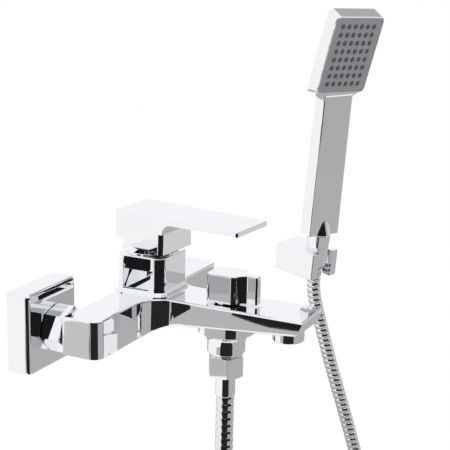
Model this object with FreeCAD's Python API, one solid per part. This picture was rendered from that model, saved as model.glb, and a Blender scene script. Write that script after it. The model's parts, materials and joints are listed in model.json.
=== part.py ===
"""Wall-mounted bath and shower mixer with a hand shower, its hose and its wall bracket.

X runs right along the wall, Y runs into the wall, whose face is Y = 0, and Z is up. The origin
lies on the wall, midway between the two supply pipes. Sizes are millimetres and degrees.
"""
import FreeCAD, Part
import math
import os

from FreeCAD import Placement, Rotation, Vector

# Clearances
RUN = 0.1            # radial play of a turning or sliding fit
PLAY = 0.3           # air between curved faces of pieces that move past each other

# Supply connections
INLET_SPACING = 150.0
UNION_DROP = 3.0             # eccentricity of the unions, turned straight down
WALL_THREAD_R = 10.48        # G 1/2 pipe thread
WALL_THREAD_OUT = 6.0        # how far the thread shows behind the wall face
WALL_BORE_R = 7.0
UNION_BODY_R = 11.4
UNION_BODY_BACK = 6.0        # wall face to the back of the union's round body
UNION_NECK_R = 9.6
UNION_COLLAR_R = 12.0
UNION_COLLAR_LENGTH = 2.5
COVER_DROP = 2.2             # wall pipe's axis to the cover's middle
FLANGE_SIZE = 57.6
FLANGE_DEPTH = 17.6
FLANGE_WALL = 1.8
FLANGE_EDGE = 3.2
NUT_ACROSS_FLATS = 28.5
NUT_LIP = 1.7
NUT_TURN = 12.0              # how the union nuts came to rest
BODY_THREAD_R = 12.6         # G 3/4 pipe thread
BODY_THREAD_LENGTH = 9.0
WASHER_THICKNESS = 2.0
STRAINER_THICKNESS = 0.6
STRAINER_HOLE_R = 0.7
STRAINER_RINGS = ((2.2, 6), (4.8, 12))   # radius of each ring of holes, and their number
NUT_CHAMFER = 1.0

# Cast body
BODY_BACK = 34.0             # wall face to the back of the arms
BODY_DEPTH = 28.0
BODY_HEIGHT = 27.0
BODY_LENGTH = 176.0
BODY_CORNER = 7.5
BODY_EDGE = 1.4
SPOUT_WIDTH = 38.6
SPOUT_REACH = 180.6          # wall face to the spout's tip
SPOUT_ROOT_HEIGHT = 18.2
SPOUT_TIP_HEIGHT = 11.2
SPOUT_TIP_SLANT = 5.5
SPOUT_LOWER_EDGE = 2.0
WEB_RADIUS = 20.0            # round between arm and spout, seen from above
UNDER_RUN = 30.0             # length of the round under the spout's root
INLET_BORE_R = 7.0
GALLERY_R = 5.0
PASSAGE_WIDTH = 26.0
PASSAGE_HEIGHT = 7.6
PASSAGE_NARROWS = 12.5       # diverter's axis to where the passage narrows
CASTING_WALL = 2.2

# Cartridge tower
TOWER_WIDTH = 40.4
TOWER_DEPTH = 38.6
TOWER_HEIGHT = 28.4
TOWER_CORNER = 7.6
TOWER_EDGE = 1.0
TOWER_SKIRT = 2.3
TOWER_SKIRT_HEIGHT = 5.0
TOWER_SKIRT_PROFILE = ((1.0, 0.0), (1.0, 0.15), (0.45, 0.4), (0.12, 0.7), (0.0, 1.0))  # spread, rise
CHAMBER_R = 17.5
CHAMBER_FLOOR = 2.0          # height of the chamber's floor over the wall pipes' axis

# Cartridge
CARTRIDGE_NUT_HEIGHT = 8.0
CARTRIDGE_WALL = 1.7
CARTRIDGE_NECK_R = 12.0
CARTRIDGE_NECK_BORE_R = 10.7
CARTRIDGE_NECK_SINK = 2.0    # neck's end below the tower's top
CARTRIDGE_NUT_SINK = 0.6     # nut's top below the dome's rim
CARTRIDGE_BASE_HEIGHT = 4.0
SEAL_HEIGHT = 1.2
SEAL_R = 4.2
DISC_HEIGHT = 3.4
FIXED_DISC_R = 14.6
MOVING_DISC_R = 11.0
PORT_R = 3.0
PORT_ASIDE = 6.1             # inlet ports to the left and right of the axis
PORT_BEHIND = 3.8            # and behind it
PORT_AHEAD = 7.6             # outlet port before the axis
DUCT_HEIGHT = 3.0
GALLERY_DROP = 5.0
MIXING_HOLLOW_R = 4.5
MIXING_HOLLOW_AHEAD = 3.0
CARRIER_HEIGHT = 4.2
CARRIER_INSET = 0.5
CARRIER_FLOOR = 0.6
TURRET_R = 15.2
TURRET_SLOT_BACK = 1.0       # extra length of the spindle's slot behind the axis
PIN_INSET = 1.0
SPINDLE_WIDTH = 6.8
SPINDLE_ROOM = 4.0           # spindle's top to the plate above it
SPINDLE_LEG_SHARE = 0.75     # leg's thickness as a share of the ball's
SPINDLE_BALL_R = 2.4
SPINDLE_BALL_DROP = 6.6      # pivot pin to the ball that pushes the disc
PIVOT_HEIGHT = 22.0          # pivot pin over the chamber's floor
PIVOT_PIN_R = 1.5
DOME_R = 19.2
DOME_RIM = 1.6
DOME_RISE = 2.6
DOME_MOUTH_R = 13.6
DOME_WALL = 1.2
DOME_STEPS = 6

# Lever
LEVER_TURN = -4.0            # the lever rests turned a little to the hot side
LEVER_LIFT = 25.0
LEVER_TOP = 70.7             # height of the plate's top over the wall pipes' axis
LEVER_DROP = 2.5             # how much lower the plate's tip is
LEVER_BACK = 18.6            # cartridge axis to the lever's back
LEVER_REACH = 82.1           # cartridge axis to the lever's tip
LEVER_WIDTH = 41.5
LEVER_TIP_WIDTH = 42.5
LEVER_ROOT_THICKNESS = 5.4
LEVER_TIP_THICKNESS = 3.4
LEVER_CORNER = 1.6
HUB_FRONT = 21.1             # cartridge axis to the hub's front face
HUB_BOTTOM = 45.4
HUB_LIP_BOTTOM = 42.2
HUB_HEEL_HEIGHT = 53.5
HUB_HEEL_RUN = 15.6
HUB_WALL = 3.0
HUB_CORNER = 3.6
HUB_FILLET = 8.0
GRUB_R = 2.0
GRUB_LENGTH = 5.0
GRUB_ABOVE_HEEL = 4.5
SOCKET_BELOW_HEEL = 3.0      # how much lower the spindle's socket reaches
LEVER_EDGE = 0.5
INDEX_PLUG_R = 3.0
INDEX_PLUG_LENGTH = 2.0
INDEX_PLUG_OUT = 0.4

# Diverter and shower outlet
DIVERTER_REACH = 114.2       # wall face to the diverter's axis
DIVERTER_R = 8.0
DIVERTER_BUSH_R = 9.4
DIVERTER_BUSH_HEIGHT = 6.5
DIVERTER_BUSH_STEP = 0.6     # how much narrower the bush is over the casting
DIVERTER_SPINDLE_R = 3.6
ORING_WIRE = 1.3
ROTOR_LENGTH = 16.5
ROTOR_PORT_R = 2.2
ROTOR_PORT_DROP = 0.8        # rotor's top to its upper window
ROTOR_DOWN_R = 1.8
ROTOR_SIDE_R = 1.6
ROTOR_RING_DROPS = (7.5, 13.0)   # below the rotor's top
RING_WIRE = 1.0
KNOB_SIZE = 22.6
KNOB_HEIGHT = 20.0
KNOB_LIFT = 1.2              # gap under the knob
KNOB_BACK = 0.9              # how much further the knob reaches back than forward
KNOB_CORNER = 3.8
KNOB_EDGE = 0.7
KNOB_ROOF = 6.0              # knob's top to the top of its spindle's bore
KNOB_NOSE_REACH = 24.6
KNOB_NOSE_WIDTH = 6.8
KNOB_NOSE_CORNER = 1.6
KNOB_HOLLOW_R = 6.0          # hollow between the block and the nose
BOSS_R = 13.6
BOSS_FLARE_R = 20.4
BOSS_FLARE_ROUND = 8.8       # hollow round from the boss to its flare
BOSS_FLARE_DROP = 12.5       # spout's root to the foot of the flare
BOSS_FLARE_INSET = 0.5       # how far the flare's flat sides lie behind the spout's
BOSS_DROP = 38.0             # body top to the boss's lower face
BOSS_ROUND = 1.6
OUTLET_THREAD_R = 10.48      # G 1/2 pipe thread
OUTLET_BORE_R = 6.0
OUTLET_LIP = 1.5
OUTLET_LIP_STEP = 0.5
OUTLET_SCREWED_R = 9.48
OUTLET_SCREWED_LENGTH = 8.0
OUTLET_THREAD_LENGTH = 10.0
CHECK_VALVE_R = 7.0
CHECK_VALVE_SINK = 6.0       # boss's lower face up to the valve's top
CHECK_VALVE_LENGTH = 10.0
VALVE_WALL = 1.0
VALVE_STEM_R = 1.2
VALVE_PLUNGER_R = 4.4
VALVE_PLUNGER_LENGTH = 2.5
VALVE_PLUNGER_DROP = 4.0
VALVE_SPOKE = 1.0
VALVE_SPOKE_HEIGHT = 1.5
HOSE_NUT_ACROSS_FLATS = 23.6
HOSE_NUT_LENGTH = 16.0
HOSE_NUT_CHAMFER = 0.6

# Aerator
AERATOR_REACH = 162.0
AERATOR_R = 11.1
AERATOR_DROP = 9.6
AERATOR_EDGE = 1.0
AERATOR_WALL = 1.6
AERATOR_THREAD_R = 9.4
AERATOR_SINK = 0.4           # housing's rim under the spout
INSERT_SINK = 1.0
INSERT_HEIGHT = 5.0
INSERT_RIM = 1.0
INSERT_RING_SHARE = 0.55     # middle ring's radius as a share of the insert's
INSERT_RING = 0.8
INSERT_SPOKES = 12
INSERT_SPOKE = 0.7
INSERT_HUB_R = 1.6
AERATOR_SEAL_WIDTH = 2.4
AERATOR_SEAL_HEIGHT = 1.2

# Hose
HOSE_R = 6.6
HOSE_VALLEY_R = 5.8
HOSE_BORE_R = 4.4
HOSE_RIBS = 190
HOSE_RIB_SHARES = (0.12, 0.32, 0.68, 0.88)   # along a rib: foot, crest, crest, foot
HOSE_ARC_SHARE = 0.45        # share of a straight run that each arc takes up
HOSE_TAIL_R = 4.1
HOSE_TAIL_GRIP = 8.0
HOSE_TAIL_WALL = 1.0
HOSE_COLLAR = 1.8            # height of a tail's collar
FERRULE_R = 7.1
FERRULE_LENGTH = 15.0
FERRULE_EDGE = 0.8
UPPER_FERRULE_OUT = 1.0      # how far the upper sleeve shows below the conical nut

# Wall bracket: place of its slot's axis, and its turn and lean
BRACKET_ASIDE = 340.0
BRACKET_OUT = 43.3
BRACKET_BELOW = 54.0
BRACKET_TURN = -18.0
BRACKET_LEAN = 5.0
BRACKET_WIDTH = 37.2
BRACKET_FRONT = 11.8         # slot's axis to the front face
BRACKET_BACK = 36.4          # slot's axis to the middle of the back, at its upper edge
BRACKET_BACK_SLANT = 2.4     # how much further back the lower edge lies
BRACKET_BACK_CROWN = 2.6
BRACKET_HEIGHT = 26.0
BRACKET_CORNER = 2.0
BRACKET_EDGE = 0.7
SLOT_WIDTH = 18.4
PIVOT_REACH = 23.5           # slot's axis to the ball
BALL_R = 6.5
BALL_NECK_R = 3.6
BALL_SEAT_R = 8.6
BALL_SEAT_LENGTH = 25.0
BALL_SEAT_MOUTH = 17.0
RECESS_WIDTH = 33.0
RECESS_HEIGHT = 21.0
RECESS_START = 3.0           # ball to where the recess begins
RECESS_FOOT_START = 9.5      # ball to where it also opens downwards
BASE_WIDTH = 12.0
BASE_HEIGHT = 20.4
BASE_THICKNESS = 3.0
BASE_SCREW_PITCH = 13.6
BASE_SCREW_R = 1.6
BASE_SCREW_HEAD_R = 3.0
BASE_CORNER = 2.0
BRACKET_SCREW_R = 2.0
BRACKET_SCREW_SINK = 0.4

# Conical nut and hand shower
CONE_TOP_R = 11.7
CONE_BOTTOM_R = 9.4
CONE_LENGTH = 32.8
CONE_TOP = 29.8              # bracket's mid height to the handle's lower end
CONE_FOOT_CHAMFER = 0.5
CONE_TOP_CHAMFER = 0.8
COLLAR_ROOM_R = 9.3          # hollow in the conical nut for the tail's collar
HANDSET_THREAD_R = 10.3
HANDSET_THREAD_LENGTH = 8.0
HANDSET_INLET_BITE = 0.4     # how far the inlet's bore cuts into the handle's wall
RESTRICTOR_SINK = 1.0
RESTRICTOR_HEIGHT = 2.0
RESTRICTOR_BORE_R = 1.5
HANDSET_TURN = -9.5
HANDLE_WIDTH = 36.3
HANDLE_DEPTH = 15.1
HANDLE_LENGTH = 132.2
HANDLE_TOP_WIDTH = 35.2
HANDLE_TOP_DEPTH = 13.8
HANDLE_CORNER = 1.3
HANDLE_WAY_CORNER = 1.0
HANDLE_FOOT_RISE = 18.0      # height of the round swelling at the handle's foot
HANDLE_WALL = 2.2
HEAD_WIDTH = 58.9
HEAD_HEIGHT = 75.2
HEAD_DEPTH = 14.0
HEAD_CORNER = 5.2
HEAD_TOP_FLARE = 3.2         # how much higher the back is than the face
HEAD_FOOT_FLARE = 4.0        # how much lower the back is than the face
HEAD_EDGE = 0.8
HEAD_BACK_RISE = 4.0         # how far the middle of the back stands out
HEAD_BACK_SLOPE = 4.6        # width of the slope round it
HEAD_TILT = 12.3
HEAD_ROLL = 1.3              # the head's turn in its own plane
HEAD_FORWARD = 9.8           # handle's axis to the head's middle
HEAD_MIDDLE = 178.4          # handle's lower end to the head's middle
HEAD_WALL = 2.0
PLATE_THICKNESS = 2.4
PLATE_RIM = 1.2
PLATE_SINK = 0.2             # face plate behind the head's rim
NECK_HEIGHT = 10.0
NECK_SPREAD = 11.4
NECK_PROFILE = ((0.0, 0.0), (0.35, 0.07), (0.65, 0.26), (0.85, 0.56), (1.0, 1.0))  # rise, spread
NOZZLE_PITCH_X = 7.57
NOZZLE_PITCH_Z = 8.06
NOZZLE_COLUMNS = 6
NOZZLE_ROWS = 8
NOZZLE_R = 2.25
NOZZLE_TIP_R = 1.75
NOZZLE_OUT = 0.5
NOZZLE_BORE_R = 0.45
MAT_THICKNESS = 1.2

# Route of the hose from the mixer's outlet to the conical nut
HOSE_POINTS = [
    (0.0, -114.2, -98.0), (-1.0, -114.3, -138.0), (-4.0, -114.0, -190.0), (-8.0, -113.3, -258.0),
    (-8.0, -112.4, -338.0), (0.0, -111.5, -412.0), (20.0, -110.8, -474.0), (56.0, -110.0, -524.0),
    (108.0, -109.3, -556.0), (170.0, -108.7, -567.0), (232.0, -108.2, -560.0), (286.0, -107.9, -533.0),
    (326.0, -107.7, -487.0), (349.0, -107.5, -425.0), (357.5, -106.5, -360.0), (357.0, -99.0, -288.0),
    (353.6, -79.6, -222.0), (349.0, -62.0, -166.0), (343.2, -47.8, -111.5), (340.77, -40.94, -82.4),
]

# Heights and places that follow from the sizes above
BODY_AXIS = -UNION_DROP
BODY_TOP = BODY_AXIS + BODY_HEIGHT / 2
BODY_BOTTOM = BODY_AXIS - BODY_HEIGHT / 2
BODY_FRONT = BODY_BACK + BODY_DEPTH
INLET_X = INLET_SPACING / 2
SPOUT_ROOT_BOTTOM = BODY_TOP - SPOUT_ROOT_HEIGHT
SPOUT_TIP_BOTTOM = BODY_TOP - SPOUT_TIP_HEIGHT
UNDER_END = BODY_FRONT + UNDER_RUN
TOWER_TOP = BODY_TOP + TOWER_HEIGHT
CARTRIDGE_Y = -(BODY_BACK + TOWER_DEPTH / 2)
PASSAGE_TOP = BODY_TOP - CASTING_WALL
PASSAGE_BOTTOM = PASSAGE_TOP - PASSAGE_HEIGHT
DIVERTER_Y = -DIVERTER_REACH
AERATOR_Y = -AERATOR_REACH
BOSS_BOTTOM = BODY_TOP - BOSS_DROP
BOSS_FLARE_FOOT = SPOUT_ROOT_BOTTOM - BOSS_FLARE_DROP
UNION_END = -(BODY_BACK - BODY_THREAD_LENGTH - WASHER_THICKNESS)
NUT_BACK = -(FLANGE_DEPTH + RUN)
BASE_TOP = CHAMBER_FLOOR + SEAL_HEIGHT / 2 + CARTRIDGE_BASE_HEIGHT
FIXED_DISC_TOP = BASE_TOP + DISC_HEIGHT
MOVING_DISC_BOTTOM = FIXED_DISC_TOP + RUN / 2
MOVING_DISC_TOP = MOVING_DISC_BOTTOM + DISC_HEIGHT
CARRIER_TOP = MOVING_DISC_TOP + CARRIER_HEIGHT
PIVOT_Z = CHAMBER_FLOOR + PIVOT_HEIGHT
CARTRIDGE_SHOULDER = TOWER_TOP - CARTRIDGE_NUT_HEIGHT
CARTRIDGE_NECK_TOP = TOWER_TOP - CARTRIDGE_NECK_SINK
SPINDLE_TOP = LEVER_TOP - LEVER_ROOT_THICKNESS - SPINDLE_ROOM
GRUB_HEIGHT = HUB_HEEL_HEIGHT + GRUB_ABOVE_HEEL
BUSH_BOTTOM = BODY_TOP - DIVERTER_BUSH_HEIGHT
ROTOR_TOP = BUSH_BOTTOM - RUN
OUTLET_END = BOSS_BOTTOM - OUTLET_LIP - OUTLET_THREAD_LENGTH
LOWER_COLLAR_UNDER = OUTLET_END - WASHER_THICKNESS - HOSE_COLLAR
CHECK_VALVE_TOP = BOSS_BOTTOM + CHECK_VALVE_SINK
CHECK_VALVE_BOTTOM = CHECK_VALVE_TOP - CHECK_VALVE_LENGTH
AERATOR_BOTTOM = SPOUT_TIP_BOTTOM - AERATOR_DROP
AERATOR_INSIDE_R = AERATOR_THREAD_R - AERATOR_WALL
INSERT_BOTTOM = AERATOR_BOTTOM + INSERT_SINK
INSERT_TOP = INSERT_BOTTOM + INSERT_HEIGHT
NUT_BOTTOM = BOSS_BOTTOM - OUTLET_LIP - HOSE_NUT_LENGTH
FERRULE_BOTTOM = NUT_BOTTOM - FERRULE_LENGTH
KNOB_BOTTOM = BODY_TOP + KNOB_LIFT
KNOB_TOP = KNOB_BOTTOM + KNOB_HEIGHT
KNOB_MIDDLE = (KNOB_BOTTOM + KNOB_TOP) / 2
CONE_BOTTOM = CONE_TOP - CONE_LENGTH
HANDSET_WASHER_TOP = CONE_TOP - HANDSET_THREAD_LENGTH
TAIL_TOP = HANDSET_WASHER_TOP - WASHER_THICKNESS - RUN
UPPER_COLLAR_UNDER = TAIL_TOP - HOSE_COLLAR
UPPER_FERRULE_BOTTOM = CONE_BOTTOM - UPPER_FERRULE_OUT
PLATE_BACK = PLATE_SINK + PLATE_THICKNESS - HEAD_DEPTH / 2
HANDSET_INLET_R = HANDLE_DEPTH / 2 - HANDLE_WALL + HANDSET_INLET_BITE

X_AXIS = Vector(1, 0, 0)
Y_AXIS = Vector(0, 1, 0)
Z_AXIS = Vector(0, 0, 1)
BRACKET_PLACE = Vector(BRACKET_ASIDE, -BRACKET_OUT, -BRACKET_BELOW)
BRACKET_TURNS = Rotation(Z_AXIS, BRACKET_TURN).multiply(Rotation(X_AXIS, BRACKET_LEAN))
BRACKET_FRAME = Placement(BRACKET_PLACE, BRACKET_TURNS)
HANDSET_FRAME = BRACKET_FRAME.multiply(Placement(Vector(0, 0, CONE_TOP), Rotation(Z_AXIS, HANDSET_TURN)))
HEAD_TURNS = Rotation(X_AXIS, HEAD_TILT).multiply(Rotation(Y_AXIS, HEAD_ROLL))
HEAD_FRAME = Placement(Vector(0, -HEAD_FORWARD, HEAD_MIDDLE), HEAD_TURNS)
BALL_CENTRE = BRACKET_FRAME.multVec(Vector(0, PIVOT_REACH, 0))
SEAT_FRAME = Placement(BALL_CENTRE, Rotation(Z_AXIS, BRACKET_TURN))


def block(x0, x1, y0, y1, z0, z1):
    """A box between two corners."""
    return Part.makeBox(x1 - x0, y1 - y0, z1 - z0, Vector(x0, y0, z0))


def rod_z(radius, z0, z1, x=0.0, y=0.0):
    """An upright cylinder."""
    return Part.makeCylinder(radius, z1 - z0, Vector(x, y, z0), Z_AXIS)


def rod_y(radius, y0, y1, x=0.0, z=0.0):
    """A cylinder that points at the wall."""
    return Part.makeCylinder(radius, y1 - y0, Vector(x, y0, z), Y_AXIS)


def rod_x(radius, x0, x1, y=0.0, z=0.0):
    """A cylinder that lies along the wall."""
    return Part.makeCylinder(radius, x1 - x0, Vector(x0, y, z), X_AXIS)


def ring_z(outer, inner, z0, z1, x=0.0, y=0.0):
    """An upright tube."""
    return rod_z(outer, z0, z1, x, y).cut(rod_z(inner, z0, z1, x, y))


def ring_y(outer, inner, y0, y1, x=0.0, z=0.0):
    """A tube that points at the wall."""
    return rod_y(outer, y0, y1, x, z).cut(rod_y(inner, y0, y1, x, z))


def turned_profile(points, x=0.0, y=0.0):
    """A solid turned about an upright axis from (radius, height) points."""
    corners = [Vector(x + radius, y, height) for radius, height in points]
    face = Part.Face(Part.makePolygon(corners + corners[:1]))
    return face.revolve(Vector(x, y, 0), Z_AXIS, 360)


def rounded_block(half_x, half_y, z0, z1, corner, y=0.0):
    """A box about an upright axis, with its four upright edges rounded."""
    solid = block(-half_x, half_x, y - half_y, y + half_y, z0, z1)
    return solid.makeFillet(corner, upright_edges(solid))


def upright_edges(solid):
    """The straight edges of a solid that run along Z."""
    edges = []
    for edge in solid.Edges:
        start, end = edge.Vertexes[0].Point, edge.Vertexes[-1].Point
        run = end - start
        if run.Length > RUN and abs(abs(run.normalize().z) - 1) < 1e-6:
            edges.append(edge)
    return edges


def edges_at(solid, height):
    """The edges of a solid that lie in one level plane."""
    return [edge for edge in solid.Edges
            if abs(edge.BoundBox.ZMin - height) < 1e-4 and abs(edge.BoundBox.ZMax - height) < 1e-4]


def side_prism(points, x0, x1):
    """A prism along X over an outline of (y, z) points."""
    corners = [Vector(x0, y, z) for y, z in points]
    return Part.Face(Part.makePolygon(corners + corners[:1])).extrude(Vector(x1 - x0, 0, 0))


def hexagon(across_flats, length, chamfer):
    """A hexagonal bar along Z from 0 to its length, corners chamfered at both ends."""
    corner = across_flats / math.sqrt(3)
    points = [Vector(corner * math.cos(math.radians(60 * k)), corner * math.sin(math.radians(60 * k)), 0)
              for k in range(7)]
    bar = Part.Face(Part.makePolygon(points)).extrude(Vector(0, 0, length))
    low = across_flats / 2 - chamfer
    slope = (corner - low) / 2
    envelope = turned_profile([(0, 0), (low, 0), (corner, slope), (corner, length - slope), (low, length),
                               (0, length)])
    return bar.common(envelope)


def fused(first, *others):
    """Several touching solids as one."""
    return first.multiFuse(list(others)).removeSplitter()


def placed(shape, placement):
    """A copy of a shape moved by a placement."""
    moved = shape.copy()
    moved.Placement = placement.multiply(moved.Placement)
    return moved


def lever_turned(shape):
    """A shape of the lever's group, turned about the cartridge's axis to its resting angle."""
    moved = shape.copy()
    moved.rotate(Vector(0, CARTRIDGE_Y, 0), Z_AXIS, LEVER_TURN)
    return moved


def both_sides(make):
    """Left and right copies of what a function makes for a side of -1 or 1."""
    return make(-1), make(1)


# Supply connections


def s_union(side):
    """Eccentric union: wall thread, round body, and a lowered neck with its collar."""
    x = side * INLET_X
    body_front = -(FLANGE_DEPTH - RUN)
    body_back = -UNION_BODY_BACK
    thread = rod_y(WALL_THREAD_R, body_back, WALL_THREAD_OUT, x)
    body = rod_y(UNION_BODY_R, body_front, body_back, x, -COVER_DROP)
    neck = rod_y(UNION_NECK_R, UNION_END, body_front, x, BODY_AXIS)
    collar = rod_y(UNION_COLLAR_R, UNION_END, UNION_END + UNION_COLLAR_LENGTH, x, BODY_AXIS)
    bore = rod_y(WALL_BORE_R, body_back, WALL_THREAD_OUT, x)
    low_bore = rod_y(WALL_BORE_R, UNION_END, body_back, x, BODY_AXIS)
    return fused(thread, body, neck, collar).cut(bore).cut(low_bore)


def wall_flange(side):
    """Square cover shell on the union's round body, open to the wall."""
    x = side * INLET_X
    half = FLANGE_SIZE / 2
    outer = block(-half, half, -FLANGE_DEPTH, 0, -half, half)
    front = [edge for edge in outer.Edges if edge.BoundBox.YMax < -FLANGE_DEPTH / 2]
    depth_edges = [edge for edge in outer.Edges if edge.BoundBox.YLength > FLANGE_DEPTH / 2]
    outer = outer.makeFillet(FLANGE_EDGE, front + depth_edges)
    inner = half - FLANGE_WALL
    hollow = block(-inner, inner, -FLANGE_DEPTH + FLANGE_WALL, 0, -inner, inner)
    hollow = hollow.makeFillet(FLANGE_EDGE - FLANGE_WALL,
                               [edge for edge in hollow.Edges if edge.BoundBox.YLength > FLANGE_WALL])
    shell = outer.cut(hollow).cut(rod_y(UNION_BODY_R + RUN, -FLANGE_DEPTH, 0))
    shell.translate(Vector(x, 0, -COVER_DROP))
    return shell


def union_nut(side):
    """Hexagonal nut that pulls the body onto the union."""
    length = BODY_BACK - PLAY + NUT_BACK
    nut = hexagon(NUT_ACROSS_FLATS, length, NUT_CHAMFER)
    nut.rotate(Vector(), Z_AXIS, NUT_TURN)
    nut.rotate(Vector(), X_AXIS, 90)
    nut.translate(Vector(0, NUT_BACK, 0))
    thread = rod_y(BODY_THREAD_R + RUN, -BODY_BACK, NUT_BACK - NUT_LIP)
    lip = rod_y(UNION_NECK_R + RUN, -BODY_BACK, 0)
    nut = nut.cut(thread).cut(lip)
    nut.translate(Vector(side * INLET_X, 0, BODY_AXIS))
    return nut


def inlet_washer(side):
    """Flat sealing washer between union and body."""
    return ring_y(UNION_COLLAR_R - PLAY, WALL_BORE_R + PLAY, UNION_END - WASHER_THICKNESS, UNION_END,
                  side * INLET_X, BODY_AXIS)


def inlet_strainer(side):
    """Perforated strainer disc held in the washer."""
    y0 = UNION_END - WASHER_THICKNESS / 2 - STRAINER_THICKNESS / 2
    disc = Part.makeCylinder(WALL_BORE_R + PLAY, STRAINER_THICKNESS, Vector(0, y0, 0), Y_AXIS)
    holes = []
    y1 = y0 + STRAINER_THICKNESS
    for ring, count in STRAINER_RINGS:
        for k in range(count):
            angle = 2 * math.pi * k / count
            holes.append(rod_y(STRAINER_HOLE_R, y0, y1, ring * math.cos(angle), ring * math.sin(angle)))
    disc = disc.cut(Part.makeCompound(holes))
    disc.translate(Vector(side * INLET_X, 0, BODY_AXIS))
    return disc


# Cast body


def body_block():
    """Arms and spout, before anything is bored: one flat-topped T."""
    half_length, half_spout = BODY_LENGTH / 2, SPOUT_WIDTH / 2
    arms = block(-half_length, half_length, -BODY_FRONT, -BODY_BACK, BODY_BOTTOM, BODY_TOP)
    spout = block(-half_spout, half_spout, -SPOUT_REACH, -BODY_BACK, BODY_BOTTOM, BODY_TOP)
    tee = fused(arms, spout)
    webs, corners = [], []
    for edge in upright_edges(tee):
        point = edge.Vertexes[0].Point
        if abs(point.y + BODY_FRONT) < RUN and abs(point.x) < half_length - RUN:
            webs.append(edge)
    tee = tee.makeFillet(WEB_RADIUS, webs)
    for edge in upright_edges(tee):
        point = edge.Vertexes[0].Point
        if abs(abs(point.x) - half_length) < RUN and point.y < -BODY_BACK - RUN:
            corners.append(edge)
    tee = tee.makeFillet(BODY_CORNER, corners)
    tee = tee.cut(space_under_spout())
    return soften_body(tee)


def space_under_spout():
    """What is cut away below the spout and past its slanting tip."""
    rise = SPOUT_ROOT_BOTTOM - BODY_BOTTOM
    radius = (UNDER_RUN ** 2 + rise ** 2) / (2 * rise)
    half_sweep = math.atan2(UNDER_RUN, radius - rise) / 2
    middle = Vector(0, -UNDER_END + radius * math.sin(half_sweep),
                    SPOUT_ROOT_BOTTOM - radius * (1 - math.cos(half_sweep)))
    start = Vector(0, -BODY_FRONT, BODY_BOTTOM)
    root = Vector(0, -UNDER_END, SPOUT_ROOT_BOTTOM)
    tip = Vector(0, -SPOUT_REACH + SPOUT_TIP_SLANT, SPOUT_TIP_BOTTOM)
    edge = Vector(0, -SPOUT_REACH, BODY_TOP)
    outside = Vector(0, -SPOUT_REACH - BODY_DEPTH, BODY_TOP)
    below = Vector(0, -SPOUT_REACH - BODY_DEPTH, BODY_BOTTOM - BODY_DEPTH)
    corner = Vector(0, -BODY_FRONT, BODY_BOTTOM - BODY_DEPTH)
    lines = [Part.Arc(start, middle, root).toShape()]
    outline = [root, tip, edge, outside, below, corner, start]
    for first, second in zip(outline, outline[1:]):
        lines.append(Part.LineSegment(first, second).toShape())
    face = Part.Face(Part.Wire(lines))
    face.translate(Vector(-BODY_LENGTH, 0, 0))
    return face.extrude(Vector(2 * BODY_LENGTH, 0, 0))


def soften_body(tee):
    """Rounded rims: fine along the top, larger along the spout's lower sides."""
    tee = tee.makeFillet(BODY_EDGE, edges_at(tee, BODY_TOP))
    lower = []
    for edge in tee.Edges:
        box = edge.BoundBox
        on_side = abs(abs(box.Center.x) - SPOUT_WIDTH / 2) < RUN and box.XLength < RUN
        if on_side and box.YLength > UNDER_RUN and box.ZMax < BODY_TOP - CASTING_WALL:
            lower.append(edge)
    return tee.makeFillet(SPOUT_LOWER_EDGE, lower)


def cartridge_tower():
    """Square tower with a small skirt at its foot."""
    half_x, half_y = TOWER_WIDTH / 2, TOWER_DEPTH / 2
    tower = rounded_block(half_x, half_y, BODY_TOP - CASTING_WALL, TOWER_TOP, TOWER_CORNER, CARTRIDGE_Y)
    tower = tower.makeFillet(TOWER_EDGE, edges_at(tower, TOWER_TOP))
    wires = []
    for share, rise in TOWER_SKIRT_PROFILE:
        spread = share * TOWER_SKIRT
        height = BODY_TOP + rise * TOWER_SKIRT_HEIGHT
        corner = TOWER_CORNER + spread
        wires.append(rounded_outline(half_x + spread, half_y + spread, corner, CARTRIDGE_Y, height))
    skirt = Part.makeLoft(wires, True, True)
    return fused(tower, skirt)


def rounded_outline(half_x, half_y, corner, y, z):
    """A level wire: rectangle with round corners about (0, y)."""
    edges = []
    quarter = math.pi / 2
    centres = [(half_x - corner, half_y - corner), (-half_x + corner, half_y - corner),
               (-half_x + corner, -half_y + corner), (half_x - corner, -half_y + corner)]
    for k, (cx, cy) in enumerate(centres):
        points = []
        for turn in (quarter * k, quarter * (k + 0.5), quarter * (k + 1)):
            points.append(Vector(cx + corner * math.cos(turn), y + cy + corner * math.sin(turn), z))
        edges.append(Part.Arc(*points).toShape())
        nx, ny = centres[(k + 1) % 4]
        following = Vector(nx + corner * math.cos(turn), y + ny + corner * math.sin(turn), z)
        edges.append(Part.LineSegment(points[2], following).toShape())
    return Part.Wire(edges)


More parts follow.
